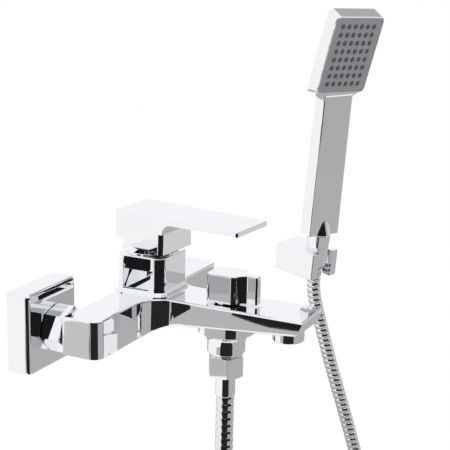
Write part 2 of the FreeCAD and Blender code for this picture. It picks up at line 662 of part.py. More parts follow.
def outlet_boss():
    """Round boss under the spout, flaring into it along an arc and cut flush with its sides."""
    top = BODY_TOP - CASTING_WALL
    sweep = math.acos(1 - (BOSS_FLARE_R - BOSS_R) / BOSS_FLARE_ROUND)
    foot = Vector(BOSS_R, 0, BOSS_FLARE_FOOT)
    centre = foot + Vector(BOSS_FLARE_ROUND, 0, 0)
    middle = centre + Vector(-math.cos(sweep / 2), 0, math.sin(sweep / 2)) * BOSS_FLARE_ROUND
    rim = centre + Vector(-math.cos(sweep), 0, math.sin(sweep)) * BOSS_FLARE_ROUND
    bow = BOSS_ROUND * (1 - math.sqrt(0.5))
    start = Vector(BOSS_R - BOSS_ROUND, 0, BOSS_BOTTOM)
    side = Vector(BOSS_R, 0, BOSS_BOTTOM + BOSS_ROUND)
    lines = [Part.Arc(start, Vector(BOSS_R - bow, 0, BOSS_BOTTOM + bow), side).toShape(),
             Part.LineSegment(side, foot).toShape(), Part.Arc(foot, middle, rim).toShape()]
    corners = [rim, Vector(BOSS_FLARE_R, 0, top), Vector(0, 0, top), Vector(0, 0, BOSS_BOTTOM), start]
    for first, second in zip(corners, corners[1:]):
        lines.append(Part.LineSegment(first, second).toShape())
    boss = Part.Face(Part.Wire(lines)).revolve(Vector(), Z_AXIS, 360)
    half = SPOUT_WIDTH / 2 - BOSS_FLARE_INSET
    boss = boss.common(block(-half, half, -BOSS_FLARE_R, BOSS_FLARE_R, BOSS_BOTTOM, top))
    boss.translate(Vector(0, DIVERTER_Y, 0))
    return boss


def body_waterways():
    """Everything that is bored or cored out of the casting."""
    ways = [rod_z(CHAMBER_R, CHAMBER_FLOOR, TOWER_TOP, 0, CARTRIDGE_Y)]
    gallery_y = CARTRIDGE_Y + PORT_BEHIND
    gallery_z = BODY_AXIS - GALLERY_DROP
    for side in (-1, 1):
        x = side * INLET_X
        ways.append(rod_y(INLET_BORE_R, gallery_y, -BODY_BACK + BODY_THREAD_LENGTH, x, BODY_AXIS))
        inner, outer = sorted((side * PORT_ASIDE, x))
        ways.append(rod_x(GALLERY_R, inner, outer, gallery_y, gallery_z))
        ways.append(rod_z(PORT_R, gallery_z, CHAMBER_FLOOR, side * PORT_ASIDE, gallery_y))
    outlet_y = CARTRIDGE_Y - PORT_AHEAD
    duct_end = CARTRIDGE_Y - CHAMBER_R - 2 * CASTING_WALL
    duct_top = CHAMBER_FLOOR - CASTING_WALL
    duct_bottom = duct_top - DUCT_HEIGHT
    ways.append(rod_z(PORT_R, duct_bottom, CHAMBER_FLOOR, 0, outlet_y))
    ways.append(block(-PORT_R, PORT_R, duct_end - PORT_R, outlet_y, duct_bottom, duct_top))
    ways.append(block(-PORT_R, PORT_R, duct_end - PORT_R, duct_end, duct_bottom, PASSAGE_TOP))
    half = PASSAGE_WIDTH / 2
    behind, ahead = DIVERTER_Y + PASSAGE_NARROWS, DIVERTER_Y - PASSAGE_NARROWS
    ways.append(block(-half, half, behind, duct_end, PASSAGE_BOTTOM, PASSAGE_TOP))
    ways.append(block(-half, half, AERATOR_Y, ahead, PASSAGE_BOTTOM, PASSAGE_TOP))
    ways.append(block(-PORT_R, PORT_R, ahead, behind, PASSAGE_BOTTOM, PASSAGE_TOP))
    ways.append(rod_z(DIVERTER_R + RUN, BOSS_BOTTOM, BODY_TOP, 0, DIVERTER_Y))
    ways.append(rod_z(DIVERTER_BUSH_R, BUSH_BOTTOM, BODY_TOP, 0, DIVERTER_Y))
    ways.append(rod_z(OUTLET_SCREWED_R, BOSS_BOTTOM, BOSS_BOTTOM + OUTLET_SCREWED_LENGTH, 0, DIVERTER_Y))
    ways.append(rod_z(AERATOR_THREAD_R, SPOUT_TIP_BOTTOM - CASTING_WALL, PASSAGE_BOTTOM + RUN, 0, AERATOR_Y))
    return Part.makeCompound(ways)


def valve_body():
    """The whole chromed brass casting with its two inlet threads."""
    start, end = -BODY_BACK - CASTING_WALL, -BODY_BACK + BODY_THREAD_LENGTH
    nipples = [rod_y(BODY_THREAD_R, start, end, side * INLET_X, BODY_AXIS) for side in (-1, 1)]
    solid = fused(body_block(), cartridge_tower(), outlet_boss(), *nipples)
    return solid.cut(body_waterways())


# Cartridge


def port_places():
    """Centres of the two inlet ports and the outlet port about the cartridge's axis."""
    return [(-PORT_ASIDE, PORT_BEHIND), (PORT_ASIDE, PORT_BEHIND), (0.0, -PORT_AHEAD)]


def bored(solid, z0, z1):
    """A solid of the cartridge with the three ports cut through it."""
    ports = [rod_z(PORT_R, z0, z1, x, CARTRIDGE_Y + y) for x, y in port_places()]
    return solid.cut(Part.makeCompound(ports))


def cartridge_seals():
    """Three rubber rings between the cartridge's base and the chamber floor."""
    top = CHAMBER_FLOOR + SEAL_HEIGHT
    rings = [ring_z(SEAL_R, PORT_R, CHAMBER_FLOOR, top, x, CARTRIDGE_Y + y) for x, y in port_places()]
    return Part.makeCompound(rings)


def cartridge_base():
    """Plastic base with recesses for the seals."""
    bottom = CHAMBER_FLOOR + SEAL_HEIGHT / 2
    base = rod_z(CHAMBER_R - RUN, bottom, BASE_TOP, 0, CARTRIDGE_Y)
    seal_top = CHAMBER_FLOOR + SEAL_HEIGHT
    recesses = [rod_z(SEAL_R + RUN, bottom, seal_top, x, CARTRIDGE_Y + y) for x, y in port_places()]
    return bored(base.cut(Part.makeCompound(recesses)), bottom, BASE_TOP)


def fixed_disc():
    """Lower ceramic disc."""
    return bored(rod_z(FIXED_DISC_R, BASE_TOP, FIXED_DISC_TOP, 0, CARTRIDGE_Y), BASE_TOP, FIXED_DISC_TOP)


def moving_disc():
    """Upper ceramic disc with its mixing hollow."""
    disc = rod_z(MOVING_DISC_R, MOVING_DISC_BOTTOM, MOVING_DISC_TOP, 0, CARTRIDGE_Y)
    roof = (MOVING_DISC_BOTTOM + MOVING_DISC_TOP) / 2
    hollow = rod_z(MIXING_HOLLOW_R, MOVING_DISC_BOTTOM, roof, 0, CARTRIDGE_Y - MIXING_HOLLOW_AHEAD)
    return lever_turned(disc.cut(hollow))


def disc_carrier():
    """Plastic carrier on the moving disc, with the slot that takes the spindle's ball."""
    body = rod_z(MOVING_DISC_R - CARRIER_INSET, MOVING_DISC_TOP, CARRIER_TOP, 0, CARTRIDGE_Y)
    half = SPINDLE_BALL_R + PLAY + RUN
    floor = MOVING_DISC_TOP + CARRIER_FLOOR
    pocket = block(-half, half, CARTRIDGE_Y - half, CARTRIDGE_Y + half, floor, CARRIER_TOP)
    return lever_turned(body.cut(pocket))


def cartridge_shell():
    """Outer plastic shell with its narrower neck."""
    wall_bore = CHAMBER_R - CARTRIDGE_WALL
    outer = fused(rod_z(CHAMBER_R - RUN, BASE_TOP, CARTRIDGE_SHOULDER, 0, CARTRIDGE_Y),
                  rod_z(CARTRIDGE_NECK_R, CARTRIDGE_SHOULDER, CARTRIDGE_NECK_TOP, 0, CARTRIDGE_Y))
    room = rod_z(wall_bore, BASE_TOP, CARTRIDGE_SHOULDER - CARTRIDGE_WALL, 0, CARTRIDGE_Y)
    mouth = rod_z(CARTRIDGE_NECK_BORE_R, BASE_TOP, CARTRIDGE_NECK_TOP, 0, CARTRIDGE_Y)
    return outer.cut(room).cut(mouth)


def turret():
    """Turning guide that carries the spindle's pin, slotted for the spindle's swing."""
    bottom = CARRIER_TOP + RUN
    top = CARTRIDGE_SHOULDER - CARTRIDGE_WALL - RUN
    body = rod_z(TURRET_R, bottom, top, 0, CARTRIDGE_Y)
    half = SPINDLE_WIDTH / 2 + PLAY
    lift = math.radians(LEVER_LIFT)
    reach = (top - PIVOT_Z) * math.tan(lift) + half / math.cos(lift) + PLAY
    slot = block(-half, half, CARTRIDGE_Y - reach, CARTRIDGE_Y + reach + TURRET_SLOT_BACK, bottom, top)
    pin = rod_x(PIVOT_PIN_R, -TURRET_R, TURRET_R, CARTRIDGE_Y, PIVOT_Z)
    return lever_turned(body.cut(slot).cut(pin))


def pivot_pin():
    """Steel pin that the spindle tips on."""
    length = TURRET_R - PIN_INSET
    return lever_turned(rod_x(PIVOT_PIN_R, -length, length, CARTRIDGE_Y, PIVOT_Z))


def lever_spindle():
    """Square spindle with a drilled eye for its pin and a ball at its foot."""
    half = SPINDLE_WIDTH / 2
    shaft = block(-half, half, CARTRIDGE_Y - half, CARTRIDGE_Y + half, PIVOT_Z, SPINDLE_TOP)
    eye = rod_x(half, -half, half, CARTRIDGE_Y, PIVOT_Z)
    leg = rod_z(SPINDLE_BALL_R * SPINDLE_LEG_SHARE, PIVOT_Z - SPINDLE_BALL_DROP, PIVOT_Z, 0, CARTRIDGE_Y)
    ball = Part.makeSphere(SPINDLE_BALL_R, Vector(0, CARTRIDGE_Y, PIVOT_Z - SPINDLE_BALL_DROP))
    solid = fused(shaft, eye, leg, ball)
    return lever_turned(solid.cut(rod_x(PIVOT_PIN_R + RUN, -half, half, CARTRIDGE_Y, PIVOT_Z)))


def cartridge_nut():
    """Ring nut that holds the cartridge down and centres the dome on its rim."""
    top = TOWER_TOP + DOME_RIM - CARTRIDGE_NUT_SINK
    screwed = rod_z(CHAMBER_R - RUN, CARTRIDGE_SHOULDER, TOWER_TOP - RUN, 0, CARTRIDGE_Y)
    rim = rod_z(DOME_R - 2 * DOME_WALL, TOWER_TOP - RUN, top, 0, CARTRIDGE_Y)
    bore = rod_z(CARTRIDGE_NECK_R + RUN, CARTRIDGE_SHOULDER, top, 0, CARTRIDGE_Y)
    return fused(screwed, rim).cut(bore)


def dome_points(radius, base, inset):
    """Points of the dome's outline from its rim to its mouth, on one shallow sphere."""
    sphere = (DOME_R ** 2 + DOME_RISE ** 2) / (2 * DOME_RISE)
    points = []
    for k in range(DOME_STEPS + 1):
        r = radius + (DOME_MOUTH_R - radius) * k / DOME_STEPS
        drop = sphere - math.sqrt(sphere ** 2 - r ** 2)
        points.append((r, base + DOME_RIM + DOME_RISE - drop - inset))
    return points


def dome_ring():
    """Round domed cover over the cartridge nut."""
    base = TOWER_TOP
    outer = [(DOME_R, base)] + dome_points(DOME_R, base, 0.0)
    inner = dome_points(DOME_R - DOME_WALL, base, DOME_WALL)[::-1] + [(DOME_R - DOME_WALL, base)]
    return turned_profile(outer + inner, 0, CARTRIDGE_Y)


# Lever


def lever():
    """Flat paddle and hollow square hub in one piece."""
    plate = lever_plate()
    hub = lever_hub()
    solid = fused(plate, hub)
    half = SPINDLE_WIDTH / 2 + RUN / 2
    under = LEVER_TOP - LEVER_ROOT_THICKNESS
    socket = rod_z(SPINDLE_WIDTH, HUB_HEEL_HEIGHT - SOCKET_BELOW_HEEL, under, 0, CARTRIDGE_Y)
    square = block(-half, half, CARTRIDGE_Y - half, CARTRIDGE_Y + half, HUB_BOTTOM, SPINDLE_TOP + RUN)
    back = CARTRIDGE_Y + LEVER_BACK
    grub = rod_y(GRUB_R, CARTRIDGE_Y, back, 0, GRUB_HEIGHT)
    cap = rod_y(INDEX_PLUG_R, back - INDEX_PLUG_LENGTH, back, 0, GRUB_HEIGHT)
    return lever_turned(fused(solid, socket).cut(square).cut(grub).cut(cap))


def lever_plate():
    """Paddle that thins, widens and dips a little towards its tip."""
    back, front = CARTRIDGE_Y + LEVER_BACK, CARTRIDGE_Y - LEVER_REACH
    tip_top = LEVER_TOP - LEVER_DROP
    side = [(back, LEVER_TOP), (front, tip_top), (front, tip_top - LEVER_TIP_THICKNESS),
            (back, LEVER_TOP - LEVER_ROOT_THICKNESS)]
    wide = LEVER_TIP_WIDTH / 2 + LEVER_CORNER
    plate = side_prism(side, -wide, wide)
    plan = [Vector(-LEVER_WIDTH / 2, back, 0), Vector(LEVER_WIDTH / 2, back, 0),
            Vector(LEVER_TIP_WIDTH / 2, front, 0), Vector(-LEVER_TIP_WIDTH / 2, front, 0)]
    outline = Part.Face(Part.makePolygon(plan + plan[:1])).extrude(Vector(0, 0, LEVER_TOP + LEVER_DROP))
    outline = outline.makeFillet(LEVER_CORNER, upright_edges(outline))
    plate = plate.common(outline)
    tip = [edge for edge in plate.Edges if edge.BoundBox.ZMin > tip_top - RUN]
    return plate.makeFillet(LEVER_EDGE, tip)


def lever_hub():
    """Square hollow hub, chamfered at its heel so that it clears the dome when lifted."""
    back, front = CARTRIDGE_Y + LEVER_BACK, CARTRIDGE_Y - HUB_FRONT
    half = LEVER_WIDTH / 2
    under = LEVER_TOP - LEVER_ROOT_THICKNESS
    side = [(front, under - HUB_FILLET), (front, HUB_LIP_BOTTOM), (front + HUB_WALL, HUB_LIP_BOTTOM),
            (front + 2 * HUB_WALL, HUB_BOTTOM), (back - HUB_HEEL_RUN, HUB_BOTTOM), (back, HUB_HEEL_HEIGHT),
            (back, under), (front - HUB_FILLET, under)]
    corners = [Vector(-half, y, z) for y, z in side]
    bow = HUB_FILLET * (1 - math.sqrt(0.5))
    lines = [Part.LineSegment(first, second).toShape() for first, second in zip(corners, corners[1:])]
    lines.append(Part.Arc(corners[-1], Vector(-half, front - bow, under - bow), corners[0]).toShape())
    hub = Part.Face(Part.Wire(lines)).extrude(Vector(2 * half, 0, 0))
    outline = block(-half, half, front - HUB_FILLET, back, HUB_LIP_BOTTOM, under)
    outline = outline.makeFillet(LEVER_CORNER, upright_edges(outline))
    front_block = block(-half, half, front, back, HUB_LIP_BOTTOM, under - HUB_FILLET)
    near = [edge for edge in upright_edges(front_block) if edge.BoundBox.YMax < front + RUN]
    rounded = front_block.makeFillet(HUB_CORNER, near)
    lower = hub.common(rounded)
    upper = hub.common(block(-half, half, front - HUB_FILLET, back, under - HUB_FILLET, under))
    hub = fused(lower, upper).common(outline)
    inner = half - HUB_WALL
    pocket = block(-inner, inner, front + HUB_WALL, back - HUB_WALL, HUB_LIP_BOTTOM, under)
    return hub.cut(pocket)


def lever_grub():
    """Grub screw against the spindle."""
    start = CARTRIDGE_Y + SPINDLE_WIDTH / 2 + RUN
    return lever_turned(rod_y(GRUB_R - RUN / 2, start, start + GRUB_LENGTH, 0, GRUB_HEIGHT))


def index_plug():
    """Small plug over the grub screw's hole."""
    back = CARTRIDGE_Y + LEVER_BACK
    plug = rod_y(INDEX_PLUG_R - RUN / 2, back - INDEX_PLUG_LENGTH, back + INDEX_PLUG_OUT, 0, GRUB_HEIGHT)
    return lever_turned(plug)


# Diverter


def diverter_knob():
    """Square knob with a nose that points at the outlet in use."""
    half, nose = KNOB_SIZE / 2, KNOB_NOSE_WIDTH / 2
    body = block(-half, half, -half, half + KNOB_BACK, KNOB_BOTTOM, KNOB_TOP)
    body = body.makeFillet(KNOB_CORNER, upright_edges(body))
    beak = block(-nose, nose, -KNOB_NOSE_REACH, 0, KNOB_BOTTOM, KNOB_TOP)
    near = [edge for edge in upright_edges(beak) if edge.BoundBox.YMax < -half]
    beak = beak.makeFillet(KNOB_NOSE_CORNER, near)
    shoulder = half - KNOB_CORNER
    root = -half - KNOB_HOLLOW_R
    web = block(-shoulder, shoulder, root, 0, KNOB_BOTTOM, KNOB_TOP)
    for side in (-1, 1):
        hollow_x = side * (nose + KNOB_HOLLOW_R)
        x0, x1 = sorted((hollow_x, side * KNOB_SIZE))
        web = web.cut(rod_z(KNOB_HOLLOW_R, KNOB_BOTTOM, KNOB_TOP, hollow_x, root))
        web = web.cut(block(x0, x1, root - KNOB_HOLLOW_R, -half, KNOB_BOTTOM, KNOB_TOP))
    solid = fused(body, beak, web)
    solid = solid.makeFillet(KNOB_EDGE, edges_at(solid, KNOB_TOP))
    solid.translate(Vector(0, DIVERTER_Y, 0))
    socket = rod_z(DIVERTER_SPINDLE_R + RUN, KNOB_BOTTOM, KNOB_TOP - KNOB_ROOF, 0, DIVERTER_Y)
    screw = rod_y(GRUB_R, DIVERTER_Y, DIVERTER_Y + half + KNOB_BACK, 0, KNOB_MIDDLE)
    return solid.cut(socket).cut(screw)


def knob_grub():
    """Grub screw at the knob's back."""
    start = DIVERTER_Y + DIVERTER_SPINDLE_R + RUN
    return rod_y(GRUB_R - RUN / 2, start, start + GRUB_LENGTH, 0, KNOB_MIDDLE)


def diverter_bush():
    """Chromed bush that closes the diverter's bore, grooved for the O-ring."""
    top = BODY_TOP + KNOB_LIFT / 2
    screwed = rod_z(DIVERTER_BUSH_R - RUN, BUSH_BOTTOM, BODY_TOP, 0, DIVERTER_Y)
    collar = rod_z(DIVERTER_BUSH_R - DIVERTER_BUSH_STEP, BODY_TOP, top, 0, DIVERTER_Y)
    bore = rod_z(DIVERTER_SPINDLE_R + RUN, BUSH_BOTTOM, top, 0, DIVERTER_Y)
    return fused(screwed, collar).cut(bore).cut(spindle_ring(DIVERTER_SPINDLE_R, RUN / 2))


def spindle_ring(inner, extra):
    """The O-ring's place round the spindle, larger all round by an extra amount."""
    middle, half = BODY_TOP - DIVERTER_BUSH_HEIGHT / 2, ORING_WIRE / 2 + extra
    outer = DIVERTER_SPINDLE_R + RUN + ORING_WIRE + extra
    return ring_z(outer, inner, middle - half, middle + half, 0, DIVERTER_Y)


def diverter_oring():
    """O-ring round the diverter's spindle."""
    return spindle_ring(DIVERTER_SPINDLE_R + RUN / 2, 0.0)


def diverter_spindle():
    """Spindle between the knob and the rotor."""
    return rod_z(DIVERTER_SPINDLE_R, ROTOR_TOP, KNOB_TOP - KNOB_ROOF - RUN, 0, DIVERTER_Y)


def rotor_ring_heights():
    """Middle heights of the two seal rings on the rotor."""
    return [ROTOR_TOP - drop for drop in ROTOR_RING_DROPS]


def diverter_rotor():
    """Rotor that sends the water to the spout or down to the hose, with grooves for its rings."""
    bottom = ROTOR_TOP - ROTOR_LENGTH
    rotor = rod_z(DIVERTER_R, bottom, ROTOR_TOP, 0, DIVERTER_Y)
    window = ROTOR_TOP - ROTOR_PORT_R - ROTOR_PORT_DROP
    across = rod_y(ROTOR_PORT_R, DIVERTER_Y - DIVERTER_R, DIVERTER_Y + DIVERTER_R, 0, window)
    channel = (DIVERTER_R + ROTOR_PORT_R) / 2 - PLAY
    down = rod_z(ROTOR_DOWN_R, bottom, window + ROTOR_SIDE_R / 2, channel, DIVERTER_Y)
    side_port = rod_x(ROTOR_SIDE_R, channel, DIVERTER_R, DIVERTER_Y, window)
    rotor = rotor.cut(across).cut(down).cut(side_port)
    floor, half = DIVERTER_R - RING_WIRE, RING_WIRE / 2
    for height in rotor_ring_heights():
        rotor = rotor.cut(ring_z(DIVERTER_R, floor, height - half, height + half, 0, DIVERTER_Y))
    return rotor


def rotor_rings():
    """Two seal rings in the rotor's grooves, on the casting's bore."""
    rings = []
    outer, inner, half = DIVERTER_R + RUN / 2, DIVERTER_R - RING_WIRE, RING_WIRE / 2 - RUN / 4
    for height in rotor_ring_heights():
        rings.append(ring_z(outer, inner, height - half, height + half, 0, DIVERTER_Y))
    return Part.makeCompound(rings)


# Aerator


def aerator_housing():
    """Chromed ring screwed under the spout's tip."""
    top = SPOUT_TIP_BOTTOM - AERATOR_SINK
    skirt = rod_z(AERATOR_R, AERATOR_BOTTOM, top, 0, AERATOR_Y)
    skirt = skirt.makeFillet(AERATOR_EDGE, edges_at(skirt, AERATOR_BOTTOM))
    thread = rod_z(AERATOR_THREAD_R - RUN, top, PASSAGE_BOTTOM, 0, AERATOR_Y)
    bore = rod_z(AERATOR_INSIDE_R, AERATOR_BOTTOM, PASSAGE_BOTTOM, 0, AERATOR_Y)
    return fused(skirt, thread).cut(bore).cut(under_spout_wedge())


def under_spout_wedge():
    """The spout itself, where the aerator's rim meets its slightly rising underside."""
    slope = (SPOUT_TIP_BOTTOM - SPOUT_ROOT_BOTTOM) / (SPOUT_REACH - SPOUT_TIP_SLANT - UNDER_END)
    y0, y1 = -SPOUT_REACH, AERATOR_Y + 2 * AERATOR_R
    z_tip = SPOUT_TIP_BOTTOM + slope * SPOUT_TIP_SLANT
    z_root = z_tip - slope * (y1 - y0)
    half = SPOUT_WIDTH / 2
    wedge = side_prism([(y0, z_tip), (y1, z_root), (y1, BODY_TOP), (y0, BODY_TOP)], -half, half)
    return wedge.cut(rod_z(AERATOR_THREAD_R, SPOUT_TIP_BOTTOM - BODY_HEIGHT, BODY_TOP, 0, AERATOR_Y))


def aerator_insert():
    """Plastic flow straightener: an inner rim, a ring and its spokes."""
    outer = AERATOR_INSIDE_R - RUN
    ring, half = outer * INSERT_RING_SHARE, INSERT_SPOKE / 2
    rim = ring_z(outer, outer - INSERT_RIM, INSERT_BOTTOM, INSERT_TOP)
    middle = ring_z(ring, ring - INSERT_RING, INSERT_BOTTOM, INSERT_TOP)
    spokes = []
    for k in range(INSERT_SPOKES):
        spoke = block(half, outer - half, -half, half, INSERT_BOTTOM, INSERT_TOP)
        spoke.rotate(Vector(), Z_AXIS, 360 / INSERT_SPOKES * k)
        spokes.append(spoke)
    hub = rod_z(INSERT_HUB_R, INSERT_BOTTOM, INSERT_TOP)
    solid = fused(rim, middle, hub, *spokes)
    solid.translate(Vector(0, AERATOR_Y, 0))
    return solid


def aerator_seal():
    """Flat rubber ring over the insert."""
    outer = AERATOR_INSIDE_R - RUN
    inner = outer - AERATOR_SEAL_WIDTH
    return ring_z(outer, inner, INSERT_TOP, INSERT_TOP + AERATOR_SEAL_HEIGHT, 0, AERATOR_Y)


# Shower outlet and the hose's lower end


def shower_outlet():
    """Threaded nipple in the boss."""
    screwed_top = BOSS_BOTTOM + OUTLET_SCREWED_LENGTH
    thread_top = BOSS_BOTTOM - OUTLET_LIP
    screwed = rod_z(OUTLET_SCREWED_R - RUN, BOSS_BOTTOM, screwed_top - RUN, 0, DIVERTER_Y)
    lip = rod_z(OUTLET_THREAD_R + OUTLET_LIP_STEP, thread_top, BOSS_BOTTOM, 0, DIVERTER_Y)
    thread = rod_z(OUTLET_THREAD_R, OUTLET_END, thread_top, 0, DIVERTER_Y)
    bore = rod_z(OUTLET_BORE_R, OUTLET_END, screwed_top, 0, DIVERTER_Y)
    seat = rod_z(CHECK_VALVE_R, CHECK_VALVE_BOTTOM, screwed_top, 0, DIVERTER_Y)
    return fused(screwed, lip, thread).cut(bore).cut(seat)


def check_valve():
    """Non-return valve: a sleeve with its plunger on spokes."""
    bottom, top = CHECK_VALVE_BOTTOM, CHECK_VALVE_TOP
    outer = CHECK_VALVE_R - RUN
    half, reach = VALVE_SPOKE / 2, outer - VALVE_SPOKE / 2
    sleeve = ring_z(outer, outer - VALVE_WALL, bottom, top)
    stem = rod_z(VALVE_STEM_R, bottom, top)
    seat = Vector(0, 0, top - VALVE_PLUNGER_DROP)
    plunger = Part.makeCone(VALVE_STEM_R, VALVE_PLUNGER_R, VALVE_PLUNGER_LENGTH, seat)
    spokes = [block(-reach, reach, -half, half, bottom, bottom + VALVE_SPOKE_HEIGHT),
              block(-half, half, -reach, reach, bottom, bottom + VALVE_SPOKE_HEIGHT)]
    solid = fused(sleeve, stem, plunger, *spokes)
    solid.translate(Vector(0, DIVERTER_Y, 0))
    return solid


def hose_washer_lower():
    """Rubber washer between the outlet and the hose's tail."""
    bottom = OUTLET_END - WASHER_THICKNESS
    return ring_z(OUTLET_THREAD_R - PLAY, OUTLET_BORE_R, bottom, OUTLET_END, 0, DIVERTER_Y)


def hose_tail_lower():
    """Tail piece: a collar in the nut, and a stem in the hose."""
    top = LOWER_COLLAR_UNDER + HOSE_COLLAR
    bottom = FERRULE_BOTTOM - HOSE_TAIL_GRIP
    collar = rod_z(OUTLET_THREAD_R - 2 * PLAY, LOWER_COLLAR_UNDER, top, 0, DIVERTER_Y)
    stem = rod_z(HOSE_TAIL_R, bottom, top, 0, DIVERTER_Y)
    bore = rod_z(HOSE_TAIL_R - HOSE_TAIL_WALL, bottom, top, 0, DIVERTER_Y)
    return fused(collar, stem).cut(bore)


def hose_nut():
    """Hexagonal nut of the hose."""
    nut = hexagon(HOSE_NUT_ACROSS_FLATS, HOSE_NUT_LENGTH, HOSE_NUT_CHAMFER)
    nut.rotate(Vector(), Z_AXIS, 30)
    nut.translate(Vector(0, DIVERTER_Y, NUT_BOTTOM))
    top = NUT_BOTTOM + HOSE_NUT_LENGTH
    thread = rod_z(OUTLET_THREAD_R + RUN, LOWER_COLLAR_UNDER, top, 0, DIVERTER_Y)
    mouth = rod_z(FERRULE_R + RUN, NUT_BOTTOM, top, 0, DIVERTER_Y)
    return nut.cut(thread).cut(mouth)


def hose_ferrule_lower():
    """Crimped sleeve below the hose nut."""
    sleeve = rod_z(FERRULE_R, FERRULE_BOTTOM, LOWER_COLLAR_UNDER, 0, DIVERTER_Y)
    sleeve = sleeve.makeFillet(FERRULE_EDGE, edges_at(sleeve, FERRULE_BOTTOM))
    return sleeve.cut(rod_z(HOSE_TAIL_R + RUN / 2, FERRULE_BOTTOM, LOWER_COLLAR_UNDER, 0, DIVERTER_Y))


# Hose


def hose_route():
    """All corner points of the hose's path, its straight ends included."""
    low = Vector(0, DIVERTER_Y, FERRULE_BOTTOM)
    high = BRACKET_FRAME.multVec(Vector(0, 0, UPPER_FERRULE_BOTTOM - RUN))
    return [low] + [Vector(*point) for point in HOSE_POINTS] + [high]


def hose_path():
    """Straight runs joined by tangent arcs; returns the edges and the arcs' radii."""
    points = hose_route()
    edges, radii = [], []
    start = points[0]
    for before, corner, after in zip(points, points[1:], points[2:]):
        back, ahead = (before - corner), (after - corner)
        run = HOSE_ARC_SHARE * min(back.Length, ahead.Length)
        back.normalize()
        ahead.normalize()
        turn = math.pi - back.getAngle(ahead)
        radii.append(run / math.tan(turn / 2))
        first, last = corner + back * run, corner + ahead * run
        bisector = (back + ahead).normalize()
        apex = radii[-1] * (1 / math.cos(turn / 2) - 1)
        edges.append(Part.LineSegment(start, first).toShape())
        edges.append(Part.Arc(first, corner + bisector * apex, last).toShape())
        start = last
    edges.append(Part.LineSegment(start, points[-1]).toShape())
    return edges, radii


def hose_stations(edges, distances):
    """Point and direction of the path at each distance along it."""
    lengths = [edge.Length for edge in edges]
    stations, index, passed = [], 0, 0.0
    for distance in distances:
        while index < len(edges) - 1 and distance > passed + lengths[index]:
            passed += lengths[index]
            index += 1
        edge = edges[index]
        along = min(max(distance - passed, 0.0), lengths[index])
        at = edge.getParameterByLength(along)
        stations.append((edge.valueAt(at), edge.tangentAt(at)))
    return stations


def hose_circle(station, radius, steady):
    """A circle across the path, its X axis kept as near as it can be to one direction."""
    point, tangent = station
    axis = steady - tangent * steady.dot(tangent)
    circle = Part.Circle(point, tangent, radius)
    circle.XAxis = axis.normalize()
    return Part.Wire(circle.toShape())


def shower_hose():
    """Ribbed metal hose with its bore: ribs are ruled between four circles each."""
    edges, radii = hose_path()
    total = sum(edge.Length for edge in edges)
    plain = 2 * HOSE_R
    pitch = (total - 2 * plain) / HOSE_RIBS
    distances, sizes = [0.0, plain], [HOSE_VALLEY_R, HOSE_VALLEY_R]
    for k in range(HOSE_RIBS):
        start = plain + k * pitch
        for share, radius in zip(HOSE_RIB_SHARES, (HOSE_VALLEY_R, HOSE_R, HOSE_R, HOSE_VALLEY_R)):
            distances.append(start + share * pitch)
            sizes.append(radius)
    distances += [total - plain, total]
    sizes += [HOSE_VALLEY_R, HOSE_VALLEY_R]
    run = edges[-1].valueAt(edges[-1].LastParameter) - edges[0].valueAt(edges[0].FirstParameter)
    steady = Vector(run.y, -run.x, 0).normalize()
    places = hose_stations(edges, distances)
    outside = [hose_circle(place, radius, steady) for place, radius in zip(places, sizes)]
    bore_at = [total * k / HOSE_RIBS for k in range(HOSE_RIBS + 1)]
    inside = [hose_circle(place, HOSE_BORE_R, steady) for place in hose_stations(edges, bore_at)]
    print("hose length %.1f mm, rib pitch %.2f mm, least radius %.0f mm" % (total, pitch, min(radii)))
    return Part.makeLoft(outside, True, True).cut(Part.makeLoft(inside, True, True))


# The hose's upper end


def cone_radius(height):
    """Outer radius of the conical nut at a height over the bracket's middle."""
    return CONE_BOTTOM_R + (CONE_TOP_R - CONE_BOTTOM_R) * (height - CONE_BOTTOM) / CONE_LENGTH


def cone_nut():
    """Conical nut that rests in the bracket and holds the hose on the hand shower."""
    foot, top = CONE_FOOT_CHAMFER, CONE_TOP - RUN
    outer = turned_profile([(0, CONE_BOTTOM), (CONE_BOTTOM_R - foot, CONE_BOTTOM),
                            (CONE_BOTTOM_R, CONE_BOTTOM + foot), (CONE_TOP_R, CONE_TOP - CONE_TOP_CHAMFER),
                            (CONE_TOP_R - foot, top), (0, top)])
    thread = rod_z(HANDSET_THREAD_R + RUN, HANDSET_WASHER_TOP - WASHER_THICKNESS, CONE_TOP)
    collar_room = rod_z(COLLAR_ROOM_R, UPPER_COLLAR_UNDER - RUN, HANDSET_WASHER_TOP)
    throat = rod_z(FERRULE_R + PLAY, CONE_BOTTOM, CONE_TOP)
    return placed(outer.cut(thread).cut(collar_room).cut(throat), BRACKET_FRAME)


def hose_washer_upper():
    """Rubber washer under the hand shower's thread."""
    bottom = HANDSET_WASHER_TOP - WASHER_THICKNESS
    return placed(ring_z(HANDSET_THREAD_R - PLAY, HOSE_TAIL_R, bottom, HANDSET_WASHER_TOP), BRACKET_FRAME)


def hose_swivel_tail():
    """Tail piece that the conical nut turns on."""
    collar = rod_z(COLLAR_ROOM_R - PLAY, UPPER_COLLAR_UNDER, TAIL_TOP)
    stem = rod_z(HOSE_TAIL_R, UPPER_FERRULE_BOTTOM - HOSE_TAIL_GRIP, TAIL_TOP)
    bore = rod_z(HOSE_TAIL_R - HOSE_TAIL_WALL, UPPER_FERRULE_BOTTOM - HOSE_TAIL_GRIP, TAIL_TOP)
    return placed(fused(collar, stem).cut(bore), BRACKET_FRAME)


def hose_ferrule_upper():
    """Crimped sleeve in the conical nut's throat."""
    sleeve = ring_z(FERRULE_R, HOSE_TAIL_R + RUN / 2, UPPER_FERRULE_BOTTOM, UPPER_COLLAR_UNDER)
    return placed(sleeve, BRACKET_FRAME)


# Hand shower


